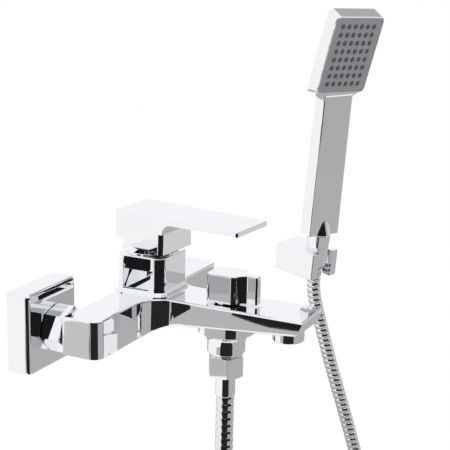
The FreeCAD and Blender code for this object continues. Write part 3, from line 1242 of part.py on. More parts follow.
def handset_blank():
    """Outer form of handle, neck and head, before it is hollowed."""
    half_x, half_y = HANDLE_TOP_WIDTH / 2, HANDLE_TOP_DEPTH / 2
    foot = rounded_outline(HANDLE_WIDTH / 2, HANDLE_DEPTH / 2, HANDLE_CORNER, 0, 0)
    top = rounded_outline(half_x, half_y, HANDLE_CORNER, 0, HANDLE_LENGTH)
    handle = Part.makeLoft([foot, top], True, True)
    flat_y = half_y - HEAD_EDGE
    inside = rounded_outline(half_x, flat_y, HANDLE_CORNER, 0, HEAD_WALL - HEAD_HEIGHT / 2)
    stem = Part.makeLoft([top, placed(inside, HEAD_FRAME)], True, True)
    outlines = []
    for rise, spread in NECK_PROFILE:
        level = (rise - 1.0) * NECK_HEIGHT + HEAD_EDGE - HEAD_HEIGHT / 2
        outline = rounded_outline(half_x + spread * NECK_SPREAD, flat_y, HANDLE_CORNER, 0, level)
        outlines.append(placed(outline, HEAD_FRAME))
    neck = Part.makeLoft(outlines, True, True)
    swelling = Part.makeCone(CONE_TOP_R, half_y - RUN, HANDLE_FOOT_RISE)
    return fused(handle, swelling, head_blank(), stem, neck)


def head_blank():
    """Flat square head, tilted forward: face, flared sides and a raised back."""
    half_x, half_y, half_z = HEAD_WIDTH / 2, HEAD_DEPTH / 2, HEAD_HEIGHT / 2
    lean = (HEAD_TOP_FLARE - HEAD_FOOT_FLARE) / 2
    growth = (HEAD_TOP_FLARE + HEAD_FOOT_FLARE) / 2
    levels = [(HEAD_EDGE / 2, 0.0, -half_y), (0.0, HEAD_EDGE / HEAD_DEPTH, HEAD_EDGE / 2 - half_y),
              (0.0, 1.0, half_y - HEAD_EDGE), (HEAD_EDGE, 1.0, half_y),
              (HEAD_EDGE + HEAD_BACK_SLOPE, 1.0, half_y + HEAD_BACK_RISE)]
    outlines = []
    for inset, share, level in levels:
        corner = max(HEAD_CORNER - inset, HEAD_EDGE)
        tall = half_z - inset + share * growth
        outlines.append(rounded_outline(half_x - inset, tall, corner, -share * lean, level))
    head = Part.makeLoft(outlines, True, True)
    head.rotate(Vector(), X_AXIS, -90)
    return placed(head, HEAD_FRAME)


def handset_shell():
    """Chromed shell: solid foot with the inlet's bore, hollow handle and head."""
    shell = handset_blank()
    inner_x, inner_y = HANDLE_WIDTH / 2 - HANDLE_WALL, HANDLE_DEPTH / 2 - HANDLE_WALL
    way_foot = HANDSET_THREAD_LENGTH + HANDLE_WALL
    way_top = HEAD_MIDDLE - HEAD_HEIGHT / 2 + 2 * HEAD_WALL
    handle_way = rounded_block(inner_x, inner_y, way_foot, way_top, HANDLE_WAY_CORNER)
    half_x, half_z = HEAD_WIDTH / 2 - HEAD_WALL, HEAD_HEIGHT / 2 - HEAD_WALL
    room = block(-half_x, half_x, -HEAD_DEPTH / 2, HEAD_DEPTH / 2 - HEAD_WALL, -half_z, half_z)
    seat = plate_outline(PLATE_RIM, -HEAD_DEPTH / 2, PLATE_THICKNESS + PLATE_SINK)
    inlet = rod_z(HANDSET_INLET_R, 0, way_foot)
    shell = shell.cut(placed(room, HEAD_FRAME)).cut(placed(seat, HEAD_FRAME))
    return placed(shell.cut(handle_way).cut(inlet), HANDSET_FRAME)


def plate_outline(rim, front, thickness):
    """A plate with the head's round corners, set in from its outline by a rim."""
    half_x, half_z = HEAD_WIDTH / 2 - rim, HEAD_HEIGHT / 2 - rim
    plate = block(-half_x, half_x, front, front + thickness, -half_z, half_z)
    across = [edge for edge in plate.Edges if edge.BoundBox.YLength > thickness / 2]
    return plate.makeFillet(HEAD_CORNER - rim, across)


def handset_inlet():
    """Inlet: its thread takes the conical nut, its stem is pressed in the handle."""
    thread = rod_z(HANDSET_THREAD_R, -HANDSET_THREAD_LENGTH, 0)
    stem = rod_z(HANDSET_INLET_R - RUN / 2, 0, HANDSET_THREAD_LENGTH)
    bore = rod_z(HOSE_TAIL_R, -HANDSET_THREAD_LENGTH, HANDSET_THREAD_LENGTH)
    return placed(fused(thread, stem).cut(bore), HANDSET_FRAME)


def flow_restrictor():
    """Small restrictor disc in the inlet."""
    bottom = RESTRICTOR_SINK - HANDSET_THREAD_LENGTH
    disc = ring_z(HOSE_TAIL_R - RUN, RESTRICTOR_BORE_R, bottom, bottom + RESTRICTOR_HEIGHT)
    return placed(disc, HANDSET_FRAME)


def nozzle_places():
    """Centres of the nozzles across the head."""
    places = []
    for row in range(NOZZLE_ROWS):
        z = (row - (NOZZLE_ROWS - 1) / 2) * NOZZLE_PITCH_Z
        for column in range(NOZZLE_COLUMNS):
            places.append(((column - (NOZZLE_COLUMNS - 1) / 2) * NOZZLE_PITCH_X, z))
    return places


def spray_plate():
    """Grey face plate with a hole for each nozzle."""
    plate = plate_outline(PLATE_RIM + RUN, PLATE_BACK - PLATE_THICKNESS, PLATE_THICKNESS)
    holes = [rod_y(NOZZLE_R, -HEAD_DEPTH / 2, PLATE_BACK, x, z) for x, z in nozzle_places()]
    return placed(placed(plate.cut(Part.makeCompound(holes)), HEAD_FRAME), HANDSET_FRAME)


def nozzle_mat():
    """Rubber mat behind the plate with all its nozzles."""
    front, back = -HEAD_DEPTH / 2 - NOZZLE_OUT, PLATE_BACK + MAT_THICKNESS
    half_x = NOZZLE_PITCH_X * NOZZLE_COLUMNS / 2
    half_z = NOZZLE_PITCH_Z * NOZZLE_ROWS / 2
    mat = block(-half_x, half_x, PLATE_BACK, back, -half_z, half_z)
    root_r, length = NOZZLE_R - RUN / 2, PLATE_BACK - front
    tips, bores = [], []
    for x, z in nozzle_places():
        tips.append(Part.makeCone(NOZZLE_TIP_R, root_r, length, Vector(x, front, z), Y_AXIS))
        bores.append(rod_y(NOZZLE_BORE_R, front, back, x, z))
    mat = mat.multiFuse(tips).cut(Part.makeCompound(bores))
    return placed(placed(mat, HEAD_FRAME), HANDSET_FRAME)


# Wall bracket


def bracket_outline(height, slant):
    """Level outline of the bracket's block, its back bowed towards the wall."""
    half_x = BRACKET_WIDTH / 2
    back = BRACKET_BACK + slant
    side_back = back - BRACKET_BACK_CROWN
    corners = [Vector(-half_x, -BRACKET_FRONT, height), Vector(half_x, -BRACKET_FRONT, height),
               Vector(half_x, side_back, height), Vector(-half_x, side_back, height)]
    lines = [Part.LineSegment(corners[k], corners[k + 1]).toShape() for k in (0, 1)]
    lines.append(Part.Arc(corners[2], Vector(0, back, height), corners[3]).toShape())
    lines.append(Part.LineSegment(corners[3], corners[0]).toShape())
    return Part.Wire(lines)


def bracket_holder():
    """Square block with the open slot for the conical nut and a recess over the ball joint."""
    half_x, half_z = BRACKET_WIDTH / 2, BRACKET_HEIGHT / 2
    back = BRACKET_BACK + BRACKET_BACK_SLANT
    lower, upper = bracket_outline(-half_z, BRACKET_BACK_SLANT), bracket_outline(half_z, 0.0)
    solid = Part.makeLoft([lower, upper], True, True)
    corners = [edge for edge in solid.Edges if edge.BoundBox.ZLength > half_z]
    solid = solid.makeFillet(BRACKET_CORNER, corners)
    solid = solid.makeFillet(BRACKET_EDGE, edges_at(solid, half_z) + edges_at(solid, -half_z))
    seat = Vector(0, 0, CONE_BOTTOM)
    cone = Part.makeCone(CONE_BOTTOM_R + RUN, cone_radius(half_z) + RUN, half_z - CONE_BOTTOM, seat)
    throat = rod_z(CONE_BOTTOM_R + RUN, -half_z, CONE_BOTTOM)
    slot = block(-SLOT_WIDTH / 2, SLOT_WIDTH / 2, -BRACKET_FRONT, 0, -half_z, half_z)
    half_barrel, half_width, half_height = BALL_SEAT_LENGTH / 2 + RUN, RECESS_WIDTH / 2, RECESS_HEIGHT / 2
    barrel = rod_x(BALL_SEAT_R + RUN, -half_barrel, half_barrel, PIVOT_REACH)
    recess = block(-half_width, half_width, PIVOT_REACH + RECESS_START, back, -half_height, half_height)
    foot = block(-half_width, half_width, PIVOT_REACH + RECESS_FOOT_START, back, -half_z, 0)
    screw = rod_z(BRACKET_SCREW_R, -half_z, 0, 0, PIVOT_REACH)
    solid = solid.cut(cone).cut(throat).cut(slot).cut(barrel).cut(recess).cut(foot).cut(screw)
    return placed(solid, BRACKET_FRAME)


def ball_seat():
    """Nylon barrel that turns on the ball and lets the block tip over it."""
    half = BALL_SEAT_LENGTH / 2
    barrel = rod_x(BALL_SEAT_R, -half, half)
    socket = Part.makeSphere(BALL_R + RUN)
    mouth_x, mouth_z = BALL_SEAT_MOUTH / 2, BALL_NECK_R + PLAY
    mouth = block(-mouth_x, mouth_x, 0, BALL_SEAT_R + RUN, -mouth_z, mouth_z)
    return placed(barrel.cut(socket).cut(mouth), SEAT_FRAME)


def bracket_base():
    """Wall plate with the ball stud, and two countersunk screw holes."""
    x, y, z = BALL_CENTRE.x, BALL_CENTRE.y, BALL_CENTRE.z
    half_x, half_z = BASE_WIDTH / 2, BASE_HEIGHT / 2
    plate = block(x - half_x, x + half_x, -BASE_THICKNESS, 0, z - half_z, z + half_z)
    across = [edge for edge in plate.Edges if edge.BoundBox.YLength > BASE_THICKNESS / 2]
    plate = plate.makeFillet(BASE_CORNER, across)
    neck = rod_y(BALL_NECK_R, y, -BASE_THICKNESS / 2, x, z)
    solid = fused(plate, neck, Part.makeSphere(BALL_R, BALL_CENTRE))
    for side in (-1, 1):
        middle = z + side * BASE_SCREW_PITCH / 2
        mouth = Vector(x, -BASE_THICKNESS, middle)
        head = Part.makeCone(BASE_SCREW_HEAD_R, BASE_SCREW_R, BASE_SCREW_R, mouth, Y_AXIS)
        solid = solid.cut(rod_y(BASE_SCREW_R, -BASE_THICKNESS, 0, x, middle)).cut(head)
    return solid


def bracket_screw():
    """Set screw from below that steadies the ball seat."""
    bottom, top = BRACKET_SCREW_SINK - BRACKET_HEIGHT / 2, -(BALL_SEAT_R + PLAY + RUN)
    return placed(rod_z(BRACKET_SCREW_R - RUN / 2, bottom, top, 0, PIVOT_REACH), BRACKET_FRAME)


def pair(make):
    """Both sides' copies of a piece in one node."""
    return Part.makeCompound(list(both_sides(make)))


def all_pieces():
    """Every node's name and shape."""
    flanges, unions, nuts = both_sides(wall_flange), both_sides(s_union), both_sides(union_nut)
    return {
        "flange_left": flanges[0], "flange_right": flanges[1],
        "s_union_left": unions[0], "s_union_right": unions[1],
        "union_nut_left": nuts[0], "union_nut_right": nuts[1],
        "inlet_washers": pair(inlet_washer), "inlet_strainers": pair(inlet_strainer),
        "valve_body": valve_body(),
        "cartridge_seals": cartridge_seals(), "cartridge_base": cartridge_base(),
        "cartridge_fixed_disc": fixed_disc(), "cartridge_moving_disc": moving_disc(),
        "cartridge_disc_carrier": disc_carrier(), "cartridge_shell": cartridge_shell(),
        "cartridge_turret": turret(), "cartridge_pivot_pin": pivot_pin(), "lever_spindle": lever_spindle(),
        "cartridge_nut": cartridge_nut(), "dome_ring": dome_ring(),
        "lever": lever(), "lever_grub_screw": lever_grub(), "lever_index_plug": index_plug(),
        "diverter_knob": diverter_knob(), "diverter_grub_screw": knob_grub(),
        "diverter_bush": diverter_bush(), "diverter_oring": diverter_oring(),
        "diverter_spindle": diverter_spindle(),
        "diverter_rotor": diverter_rotor(), "diverter_seal_rings": rotor_rings(),
        "aerator_housing": aerator_housing(), "aerator_insert": aerator_insert(),
        "aerator_seal": aerator_seal(),
        "shower_outlet": shower_outlet(), "check_valve": check_valve(),
        "hose_washer_lower": hose_washer_lower(), "hose_tail_lower": hose_tail_lower(),
        "hose_nut": hose_nut(), "hose_ferrule_lower": hose_ferrule_lower(),
        "shower_hose": shower_hose(),
        "hose_ferrule_upper": hose_ferrule_upper(), "hose_swivel_tail": hose_swivel_tail(),
        "hose_washer_upper": hose_washer_upper(), "cone_nut": cone_nut(),
        "handset_shell": handset_shell(), "handset_inlet": handset_inlet(),
        "flow_restrictor": flow_restrictor(),
        "spray_plate": spray_plate(), "nozzle_mat": nozzle_mat(),
        "bracket_holder": bracket_holder(), "bracket_ball_seat": ball_seat(),
        "bracket_base": bracket_base(), "bracket_set_screw": bracket_screw(),
    }


def main():
    os.makedirs("parts", exist_ok=True)
    for name, shape in all_pieces().items():
        print("%-24s %2d solid(s) %10.1f mm3 %s" % (name, len(shape.Solids), shape.Volume, shape.isValid()))
        shape.exportStep(os.path.join("parts", name + ".step"))


main()
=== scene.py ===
import json
import math

import bmesh
import bpy
from bpy.props import FloatProperty, FloatVectorProperty, IntProperty, PointerProperty
from mathutils import Matrix, Vector


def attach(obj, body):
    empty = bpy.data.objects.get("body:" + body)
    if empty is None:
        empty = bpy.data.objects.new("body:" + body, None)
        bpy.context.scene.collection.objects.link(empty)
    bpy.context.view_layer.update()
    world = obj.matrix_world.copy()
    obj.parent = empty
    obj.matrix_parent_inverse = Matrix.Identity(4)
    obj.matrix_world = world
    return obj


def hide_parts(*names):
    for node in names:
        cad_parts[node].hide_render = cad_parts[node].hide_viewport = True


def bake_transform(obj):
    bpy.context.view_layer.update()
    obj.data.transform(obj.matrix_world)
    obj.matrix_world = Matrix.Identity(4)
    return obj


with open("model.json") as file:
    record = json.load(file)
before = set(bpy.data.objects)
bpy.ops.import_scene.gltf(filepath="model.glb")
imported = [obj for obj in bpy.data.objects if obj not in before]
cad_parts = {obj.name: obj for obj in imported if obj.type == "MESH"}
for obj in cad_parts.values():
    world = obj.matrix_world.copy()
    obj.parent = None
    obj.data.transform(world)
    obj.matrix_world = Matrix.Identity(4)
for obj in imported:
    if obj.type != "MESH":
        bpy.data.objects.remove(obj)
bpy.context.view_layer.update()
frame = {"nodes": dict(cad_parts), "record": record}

bl_info = {
    "name": "Bath mixer",
    "version": (1, 0, 0),
    "blender": (4, 5, 0),
    "location": "3D Viewport > Sidebar > Bath mixer",
    "description": "Dresses a wall-mounted bath mixer, its ribbed hose, bracket and hand shower",
    "category": "Object",
}

MILLIMETRE = 0.001
NODES = frame["nodes"]
RECORD = frame["record"]
BODY_OF_NODE = {node: body for body, members in RECORD["behaviour"]["bodies"].items()
                for node in members}
SLOT_OF_NODE = {part["node"]: part["material_slot"] for part in RECORD["subparts"]}

# How the frame's facets become flats and curves
MERGE_DISTANCE = 2e-6                 # corners closer than this are one, metres
FLAT_ANGLE = math.radians(0.4)        # facets that turn less than this are one flat
CREASE_ANGLE = math.radians(32.0)     # edges that turn more than this stay crisp
ROUND_SEGMENTS = 2                    # faces across the fine round of a crisp edge
AREA_WEIGHT = 80                      # how much large faces lead the normals, from 50 for none

# Route of the hose, from the lower sleeve to the upper one, millimetres
HOSE_ROUTE = [
    (0.0, -114.2, -60.0), (0.0, -114.2, -98.0), (-1.0, -114.3, -138.0), (-4.0, -114.0, -190.0),
    (-8.0, -113.3, -258.0), (-8.0, -112.4, -338.0), (0.0, -111.5, -412.0), (20.0, -110.8, -474.0),
    (56.0, -110.0, -524.0), (108.0, -109.3, -556.0), (170.0, -108.7, -567.0),
    (232.0, -108.2, -560.0), (286.0, -107.9, -533.0), (326.0, -107.7, -487.0),
    (349.0, -107.5, -425.0), (357.5, -106.5, -360.0), (357.0, -99.0, -288.0),
    (353.6, -79.6, -222.0), (349.0, -62.0, -166.0), (343.2, -47.8, -111.5),
    (340.77, -40.94, -82.4), (340.11, -42.97, -57.98), (339.68, -44.3, -42.0),
]
ROUTE_ORDER = 3                       # how many points of the route shape each bit of the line
ROUTE_STEPS = 24                      # points of the smooth line for each point of the route
# One rib of the hose: share of the pitch, share of the rib's height
RIB = [(0.0, 0.0), (0.10, 0.5), (0.24, 0.88), (0.42, 1.0), (0.60, 0.97), (0.78, 0.72),
       (0.92, 0.28)]


class MixerSizes(bpy.types.PropertyGroup):
    """Sizes of the dressing that the frame leaves open."""
    edge_round: FloatProperty(
        name="Edge round", description="Width of the fine round on crisp edges",
        default=0.00025, min=0.0, max=0.002, precision=5, unit="LENGTH")
    hose_radius: FloatProperty(
        name="Hose radius", description="Outer radius of the hose at the top of a rib",
        default=0.0066, min=0.002, max=0.02, precision=4, unit="LENGTH")
    hose_valley: FloatProperty(
        name="Hose valley", description="Outer radius of the hose between two ribs",
        default=0.0059, min=0.002, max=0.02, precision=4, unit="LENGTH")
    hose_pitch: FloatProperty(
        name="Rib pitch", description="Distance from one rib of the hose to the next",
        default=0.0054, min=0.001, max=0.02, precision=4, unit="LENGTH")
    hose_segments: IntProperty(
        name="Hose segments", description="Faces round the hose", default=24, min=8, max=64)


class MixerFinishes(bpy.types.PropertyGroup):
    """Colours and gloss of the finishes."""
    chrome: FloatVectorProperty(
        name="Chrome", description="Colour of the chromed brass",
        subtype="COLOR", size=3, default=(0.88, 0.89, 0.905), min=0.0, max=1.0)
    chrome_roughness: FloatProperty(
        name="Chrome roughness", description="How blurred the chrome's reflections are",
        subtype="FACTOR", default=0.02, min=0.0, max=1.0)
    hose_roughness: FloatProperty(
        name="Hose roughness", description="How blurred the hose's reflections are",
        subtype="FACTOR", default=0.12, min=0.0, max=1.0)
    plate: FloatVectorProperty(
        name="Face plate", description="Colour of the hand shower's face plate",
        subtype="COLOR", size=3, default=(0.30, 0.31, 0.325), min=0.0, max=1.0)
    rubber: FloatVectorProperty(
        name="Rubber", description="Colour of the nozzles and seals",
        subtype="COLOR", size=3, default=(0.11, 0.112, 0.118), min=0.0, max=1.0)
    backdrop: FloatProperty(
        name="Backdrop", description="Brightness of the white surroundings",
        subtype="FACTOR", default=1.06, min=0.0, max=2.0)


def sizes():
    """The scene's size settings."""
    return bpy.context.scene.mixer_sizes


def finishes():
    """The scene's finish settings."""
    return bpy.context.scene.mixer_finishes


# Materials


def new_material(name):
    """A new node material, with its nodes, its links and its shader."""
    material = bpy.data.materials.new(name)
    material.use_nodes = True
    nodes, links = material.node_tree.nodes, material.node_tree.links
    return material, nodes, links, nodes["Principled BSDF"]


def finish_for(slot):
    """The material of one of the record's slots, made when it is first needed."""
    name = slot + "_look"
    if name in bpy.data.materials:
        return bpy.data.materials[name]
    look = finishes()
    metals = {
        "chrome": (look.chrome, look.chrome_roughness),
        "hose_steel": ((0.80, 0.81, 0.82), look.hose_roughness),
        "brass": ((0.72, 0.55, 0.28), 0.28),
        "steel": ((0.55, 0.56, 0.57), 0.32),
    }
    others = {
        "grey_plastic": (look.plate, 0.32),
        "black_rubber": (look.rubber, 0.6),
        "dark_rubber": (look.rubber, 0.5),
        "white_plastic": ((0.8, 0.8, 0.79), 0.4),
        "cartridge_plastic": ((0.72, 0.72, 0.7), 0.45),
        "ceramic": ((0.86, 0.86, 0.84), 0.15),
    }
    colour, roughness = metals[slot] if slot in metals else others[slot]
    material, _, _, shader = new_material(name)
    shader.inputs["Base Color"].default_value = (*colour, 1.0)
    shader.inputs["Metallic"].default_value = 1.0 if slot in metals else 0.0
    shader.inputs["Roughness"].default_value = roughness
    return material


def dress_nodes(*names):
    """Gives frame nodes that stay as they are the material of their slot."""
    for name in names:
        mesh = NODES[name].data
        mesh.materials.clear()
        mesh.materials.append(finish_for(SLOT_OF_NODE[name]))


# Pieces


def new_object(name, skin, material):
    """A linked object at the origin, from a finished skin and its material."""
    mesh = bpy.data.meshes.new(name)
    skin.to_mesh(mesh)
    skin.free()
    mesh.materials.append(material)
    piece = bpy.data.objects.new(name, mesh)
    bpy.context.scene.collection.objects.link(piece)
    return piece


def polish(node, name, round_edges=True):
    """A frame node as one skin with even reflections: flats stay flat, curves turn smoothly."""
    skin = bmesh.new()
    skin.from_mesh(NODES[node].data)
    bmesh.ops.remove_doubles(skin, verts=skin.verts[:], dist=MERGE_DISTANCE)
    bmesh.ops.dissolve_limit(skin, angle_limit=FLAT_ANGLE, verts=skin.verts[:],
                             edges=skin.edges[:], delimit={"NORMAL"})
    for edge in skin.edges:
        edge.smooth = len(edge.link_faces) == 2 and edge.calc_face_angle(0.0) < CREASE_ANGLE
    for face in skin.faces:
        face.smooth = True
        face.material_index = 0
    slot = SLOT_OF_NODE[node]
    piece = new_object(name, skin, finish_for(slot))
    if round_edges:
        bevel = piece.modifiers.new("fine rounds", "BEVEL")
        bevel.width = sizes().edge_round
        bevel.segments = ROUND_SEGMENTS
        bevel.limit_method = "ANGLE"
        bevel.angle_limit = CREASE_ANGLE
    normals = piece.modifiers.new("even normals", "WEIGHTED_NORMAL")
    normals.keep_sharp = True
    normals.weight = AREA_WEIGHT
    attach(piece, BODY_OF_NODE[node])
    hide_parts(node)


# Hose


def hose_line():
    """Points along the hose's smooth line, metres."""
    curve = bpy.data.curves.new("hose_line", "CURVE")
    curve.dimensions = "3D"
    spline = curve.splines.new("NURBS")
    spline.points.add(len(HOSE_ROUTE) - 1)
    for point, place in zip(spline.points, HOSE_ROUTE):
        point.co = (*(MILLIMETRE * value for value in place), 1.0)
    spline.order_u = ROUTE_ORDER
    spline.use_endpoint_u = True
    spline.resolution_u = ROUTE_STEPS
    line = bpy.data.objects.new("hose_line", curve)
    mesh = bpy.data.meshes.new_from_object(line)
    points = [vertex.co.copy() for vertex in mesh.vertices]
    bpy.data.objects.remove(line)
    bpy.data.curves.remove(curve)
    bpy.data.meshes.remove(mesh)
    return points


def along(points):
    """Distance of each point from the line's start."""
    passed = [0.0]
    for before, point in zip(points, points[1:]):
        passed.append(passed[-1] + (point - before).length)
    return passed


def stations(points, distances):
    """Place, side and back direction at each distance, with a frame that doesn't twist."""
    passed = along(points)
    index, places = 0, []
    for distance in distances:
        distance = min(max(distance, 0.0), passed[-1])
        while index < len(points) - 2 and distance > passed[index + 1]:
            index += 1
        share = (distance - passed[index]) / (passed[index + 1] - passed[index])
        places.append(points[index].lerp(points[index + 1], share))
    frames = []
    side = Vector((0.0, 1.0, 0.0))
    for k, place in enumerate(places):
        tangent = (places[min(k + 1, len(places) - 1)] - places[max(k - 1, 0)]).normalized()
        side = (side - tangent * side.dot(tangent)).normalized()
        frames.append((place, side.copy(), tangent.cross(side)))
    return frames


def rib_rings(total):
    """Distances along a hose of that length, and the hose's radius at each."""
    size = sizes()
    ribs = round(total / size.hose_pitch)
    pitch = total / ribs
    depth = size.hose_radius - size.hose_valley
    rings = [((k + share) * pitch, size.hose_valley + depth * height)
             for k in range(ribs) for share, height in RIB]
    rings.append((total, size.hose_valley))
    return zip(*rings)


def tube(frames, radii, count):
    """A closed tube through rings of that many corners."""
    skin = bmesh.new()
    turns = [2 * math.pi * j / count for j in range(count)]
    rows = []
    for (place, side, back), radius in zip(frames, radii):
        outs = [side * math.cos(turn) + back * math.sin(turn) for turn in turns]
        rows.append([skin.verts.new(place + out * radius) for out in outs])
    for below, above in zip(rows, rows[1:]):
        for j in range(count):
            following = (j + 1) % count
            skin.faces.new((below[j], below[following], above[following], above[j]))
    skin.faces.new(rows[0][::-1])
    skin.faces.new(rows[-1])
    bmesh.ops.recalc_face_normals(skin, faces=skin.faces[:])
    for face in skin.faces:
        face.smooth = True
    return skin


class MIXER_OT_hose(bpy.types.Operator):
    """Wound metal hose: one rib after the other on a smooth line"""
    bl_idname = "mixer.hose"
    bl_label = "Ribbed hose"

    def execute(self, context):
        points = hose_line()
        distances, radii = rib_rings(along(points)[-1])
        skin = tube(stations(points, distances), radii, sizes().hose_segments)
        hose = new_object("hose_ribbed", skin, finish_for("hose_steel"))
        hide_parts("shower_hose")
        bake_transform(hose)
        return {"FINISHED"}


# Pieces of the mixer


class MIXER_OT_supply(bpy.types.Operator):
    """Wall covers, union nuts, unions, washers and strainers"""
    bl_idname = "mixer.supply"
    bl_label = "Supply connections"

    def execute(self, context):
        for side in ("left", "right"):
            polish("flange_" + side, "cover_" + side)
            polish("union_nut_" + side, "nut_" + side)
        dress_nodes("s_union_left", "s_union_right", "inlet_washers", "inlet_strainers")
        return {"FINISHED"}


class MIXER_OT_casting(bpy.types.Operator):
    """Chromed casting with its arms, spout, tower and boss"""
    bl_idname = "mixer.casting"
    bl_label = "Cast body"

    def execute(self, context):
        polish("valve_body", "casting")
        return {"FINISHED"}


class MIXER_OT_cartridge(bpy.types.Operator):
    """Domed ring and the cartridge under it"""
    bl_idname = "mixer.cartridge"
    bl_label = "Cartridge and dome"

    def execute(self, context):
        polish("dome_ring", "dome")
        dress_nodes("cartridge_seals", "cartridge_base", "cartridge_fixed_disc",
                    "cartridge_moving_disc", "cartridge_disc_carrier", "cartridge_shell",
                    "cartridge_turret", "cartridge_pivot_pin", "cartridge_nut", "lever_spindle")
        return {"FINISHED"}


class MIXER_OT_lever(bpy.types.Operator):
    """Flat lever with its hub, plug and grub screw"""
    bl_idname = "mixer.lever"
    bl_label = "Lever"

    def execute(self, context):
        polish("lever", "lever_chrome")
        polish("lever_index_plug", "lever_plug")
        dress_nodes("lever_grub_screw")
        return {"FINISHED"}


class MIXER_OT_diverter(bpy.types.Operator):
    """Diverter knob, its grub screw, bush, spindle, rotor and seals"""
    bl_idname = "mixer.diverter"
    bl_label = "Diverter"

    def execute(self, context):
        polish("diverter_knob", "knob_chrome")
        dress_nodes("diverter_grub_screw", "diverter_bush", "diverter_oring", "diverter_spindle",
                    "diverter_rotor", "diverter_seal_rings")
        return {"FINISHED"}


class MIXER_OT_outlets(bpy.types.Operator):
    """Aerator under the spout, and the shower outlet with the hose's nut and sleeve"""
    bl_idname = "mixer.outlets"
    bl_label = "Outlets"

    def execute(self, context):
        polish("aerator_housing", "aerator_chrome")
        polish("shower_outlet", "outlet_chrome")
        polish("hose_nut", "hose_nut_chrome")
        polish("hose_ferrule_lower", "lower_sleeve")
        dress_nodes("aerator_insert", "aerator_seal", "check_valve", "hose_washer_lower",
                    "hose_tail_lower")
        return {"FINISHED"}


class MIXER_OT_bracket(bpy.types.Operator):
    """Wall bracket with its slot and ball joint"""
    bl_idname = "mixer.bracket"
    bl_label = "Wall bracket"

    def execute(self, context):
        polish("bracket_holder", "bracket_chrome")
        polish("bracket_base", "bracket_plate")
        dress_nodes("bracket_ball_seat", "bracket_set_screw")
        return {"FINISHED"}


class MIXER_OT_handset(bpy.types.Operator):
    """Hand shower with its face plate and nozzles, and the hose's upper sleeve and conical nut"""
    bl_idname = "mixer.handset"
    bl_label = "Hand shower"

    def execute(self, context):
        polish("cone_nut", "cone_chrome")
        polish("hose_ferrule_upper", "upper_sleeve")
        polish("handset_shell", "handset_chrome")
        polish("spray_plate", "face_plate")
        polish("nozzle_mat", "nozzles", round_edges=False)
        dress_nodes("hose_swivel_tail", "hose_washer_upper", "handset_inlet", "flow_restrictor")
        return {"FINISHED"}


# Stage

CAMERA_RIGHT = Vector((0.44709132, -0.8942451, 0.02085772))
CAMERA_UP = Vector((0.20937108, 0.12729159, 0.96951565))
CAMERA_BACK = Vector((-0.86963964, -0.42909504, 0.24414003))
CAMERA_PLACE = Vector((-0.75644771, -0.48435029, 0.27750835))
CAMERA_LENS = 99.893                  # millimetres
CAMERA_SENSOR = 36.0                  # its width, millimetres
CAMERA_NEAR, CAMERA_FAR = 0.01, 100.0 # what it sees between, metres
FLOOR_HEIGHT = -0.62
FLOOR_SIZE = 60.0
FLOOR_COLOUR = (0.86, 0.86, 0.86, 1.0)
FLOOR_ROUGHNESS = 0.9
FLOOR_WHITE = 0.9                     # how far the floor is plain white where it is seen
SKY_COLOUR = (0.93, 0.935, 0.955, 1.0)
SKY_LIGHT = 0.55                      # strength of the surroundings as light
# Soft lamps: name, place, aim, power in watts, width, height
LAMPS = [
    ("key", (-0.9, -1.4, 1.9), (0.15, -0.08, -0.05), 22.0, 1.6, 1.2),
    ("fill", (1.4, -1.6, 0.9), (0.2, -0.08, -0.05), 9.0, 1.6, 1.6),
]
CARD_CENTRE = Vector((0.05, -0.10, 0.0))
CARD_STEP = 4.0                       # degrees of a round card in one face
CARD_BLUE = 1.01                      # a card's blue as a share of its red and green
# Upright cards round the object: name, first and last angle from -X towards -Y in degrees,
# radius, lower and upper edge, brightness
WALL_CARDS = [
    ("dark_wall", -13.0, 108.0, 1.6, -0.9, 0.75, 0.012),
    ("light_wall", 124.0, 190.0, 1.6, -0.9, 0.60, 0.66),
    ("handle_wall", 108.5, 128.0, 1.5, -0.46, 0.20, 0.45),
    ("edge_wall", 130.0, 185.0, 1.6, 0.60, 1.50, 0.45),
]
# Level cards below the object: name, angles, inner and outer radius, brightness
LOW_HEIGHT = -0.277
LOW_CARDS = [
    ("grey_table", 61.0, 250.0, 0.11, 1.0, 0.46),
    ("grey_band", -27.5, -9.0, 0.66, 1.0, 0.50),
    ("arm_band", -32.5, -27.5, 0.66, 1.0, 0.60),
    ("knob_band", -26.0, -20.0, 1.0, 1.3, 0.40),
    ("dark_table", -9.0, 61.0, 0.11, 1.0, 0.02),
]
# Level cards for single faces, just over the others: name, height, corners, brightness
FACE_CARDS = [
    ("spout_card", -0.276, ((-0.794, 0.247), (-0.780, 0.215), (-0.767, 0.177), (-0.770, 0.118),
                            (-0.820, 0.118), (-0.830, 0.262)), 0.015),
]


def seen_rays(nodes, links):
    """A value of 1 for the camera's rays and for reflected and refracted ones, else 0."""
    path = nodes.new("ShaderNodeLightPath")
    seen = path.outputs["Is Camera Ray"]
    for kind in ("Is Glossy Ray", "Is Transmission Ray"):
        either = nodes.new("ShaderNodeMath")
        either.operation = "MAXIMUM"
        links.new(seen, either.inputs[0])
        links.new(path.outputs[kind], either.inputs[1])
        seen = either.outputs["Value"]
    return seen


def mix_surfaces(nodes, links, share, first, second, output):
    """Leads two surfaces to an output, with that share of the second."""
    mix = nodes.new("ShaderNodeMixShader")
    links.new(share, mix.inputs["Fac"])
    links.new(first, mix.inputs[1])
    links.new(second, mix.inputs[2])
    links.new(mix.outputs["Shader"], output.inputs["Surface"])


def glow(name, brightness):
    """An evenly bright surface for a studio card."""
    material, nodes, links, shader = new_material(name)
    nodes.remove(shader)
    light = nodes.new("ShaderNodeEmission")
    light.inputs["Color"].default_value = (brightness, brightness, brightness * CARD_BLUE, 1.0)
    links.new(light.outputs["Emission"], nodes["Material Output"].inputs["Surface"])
    return material


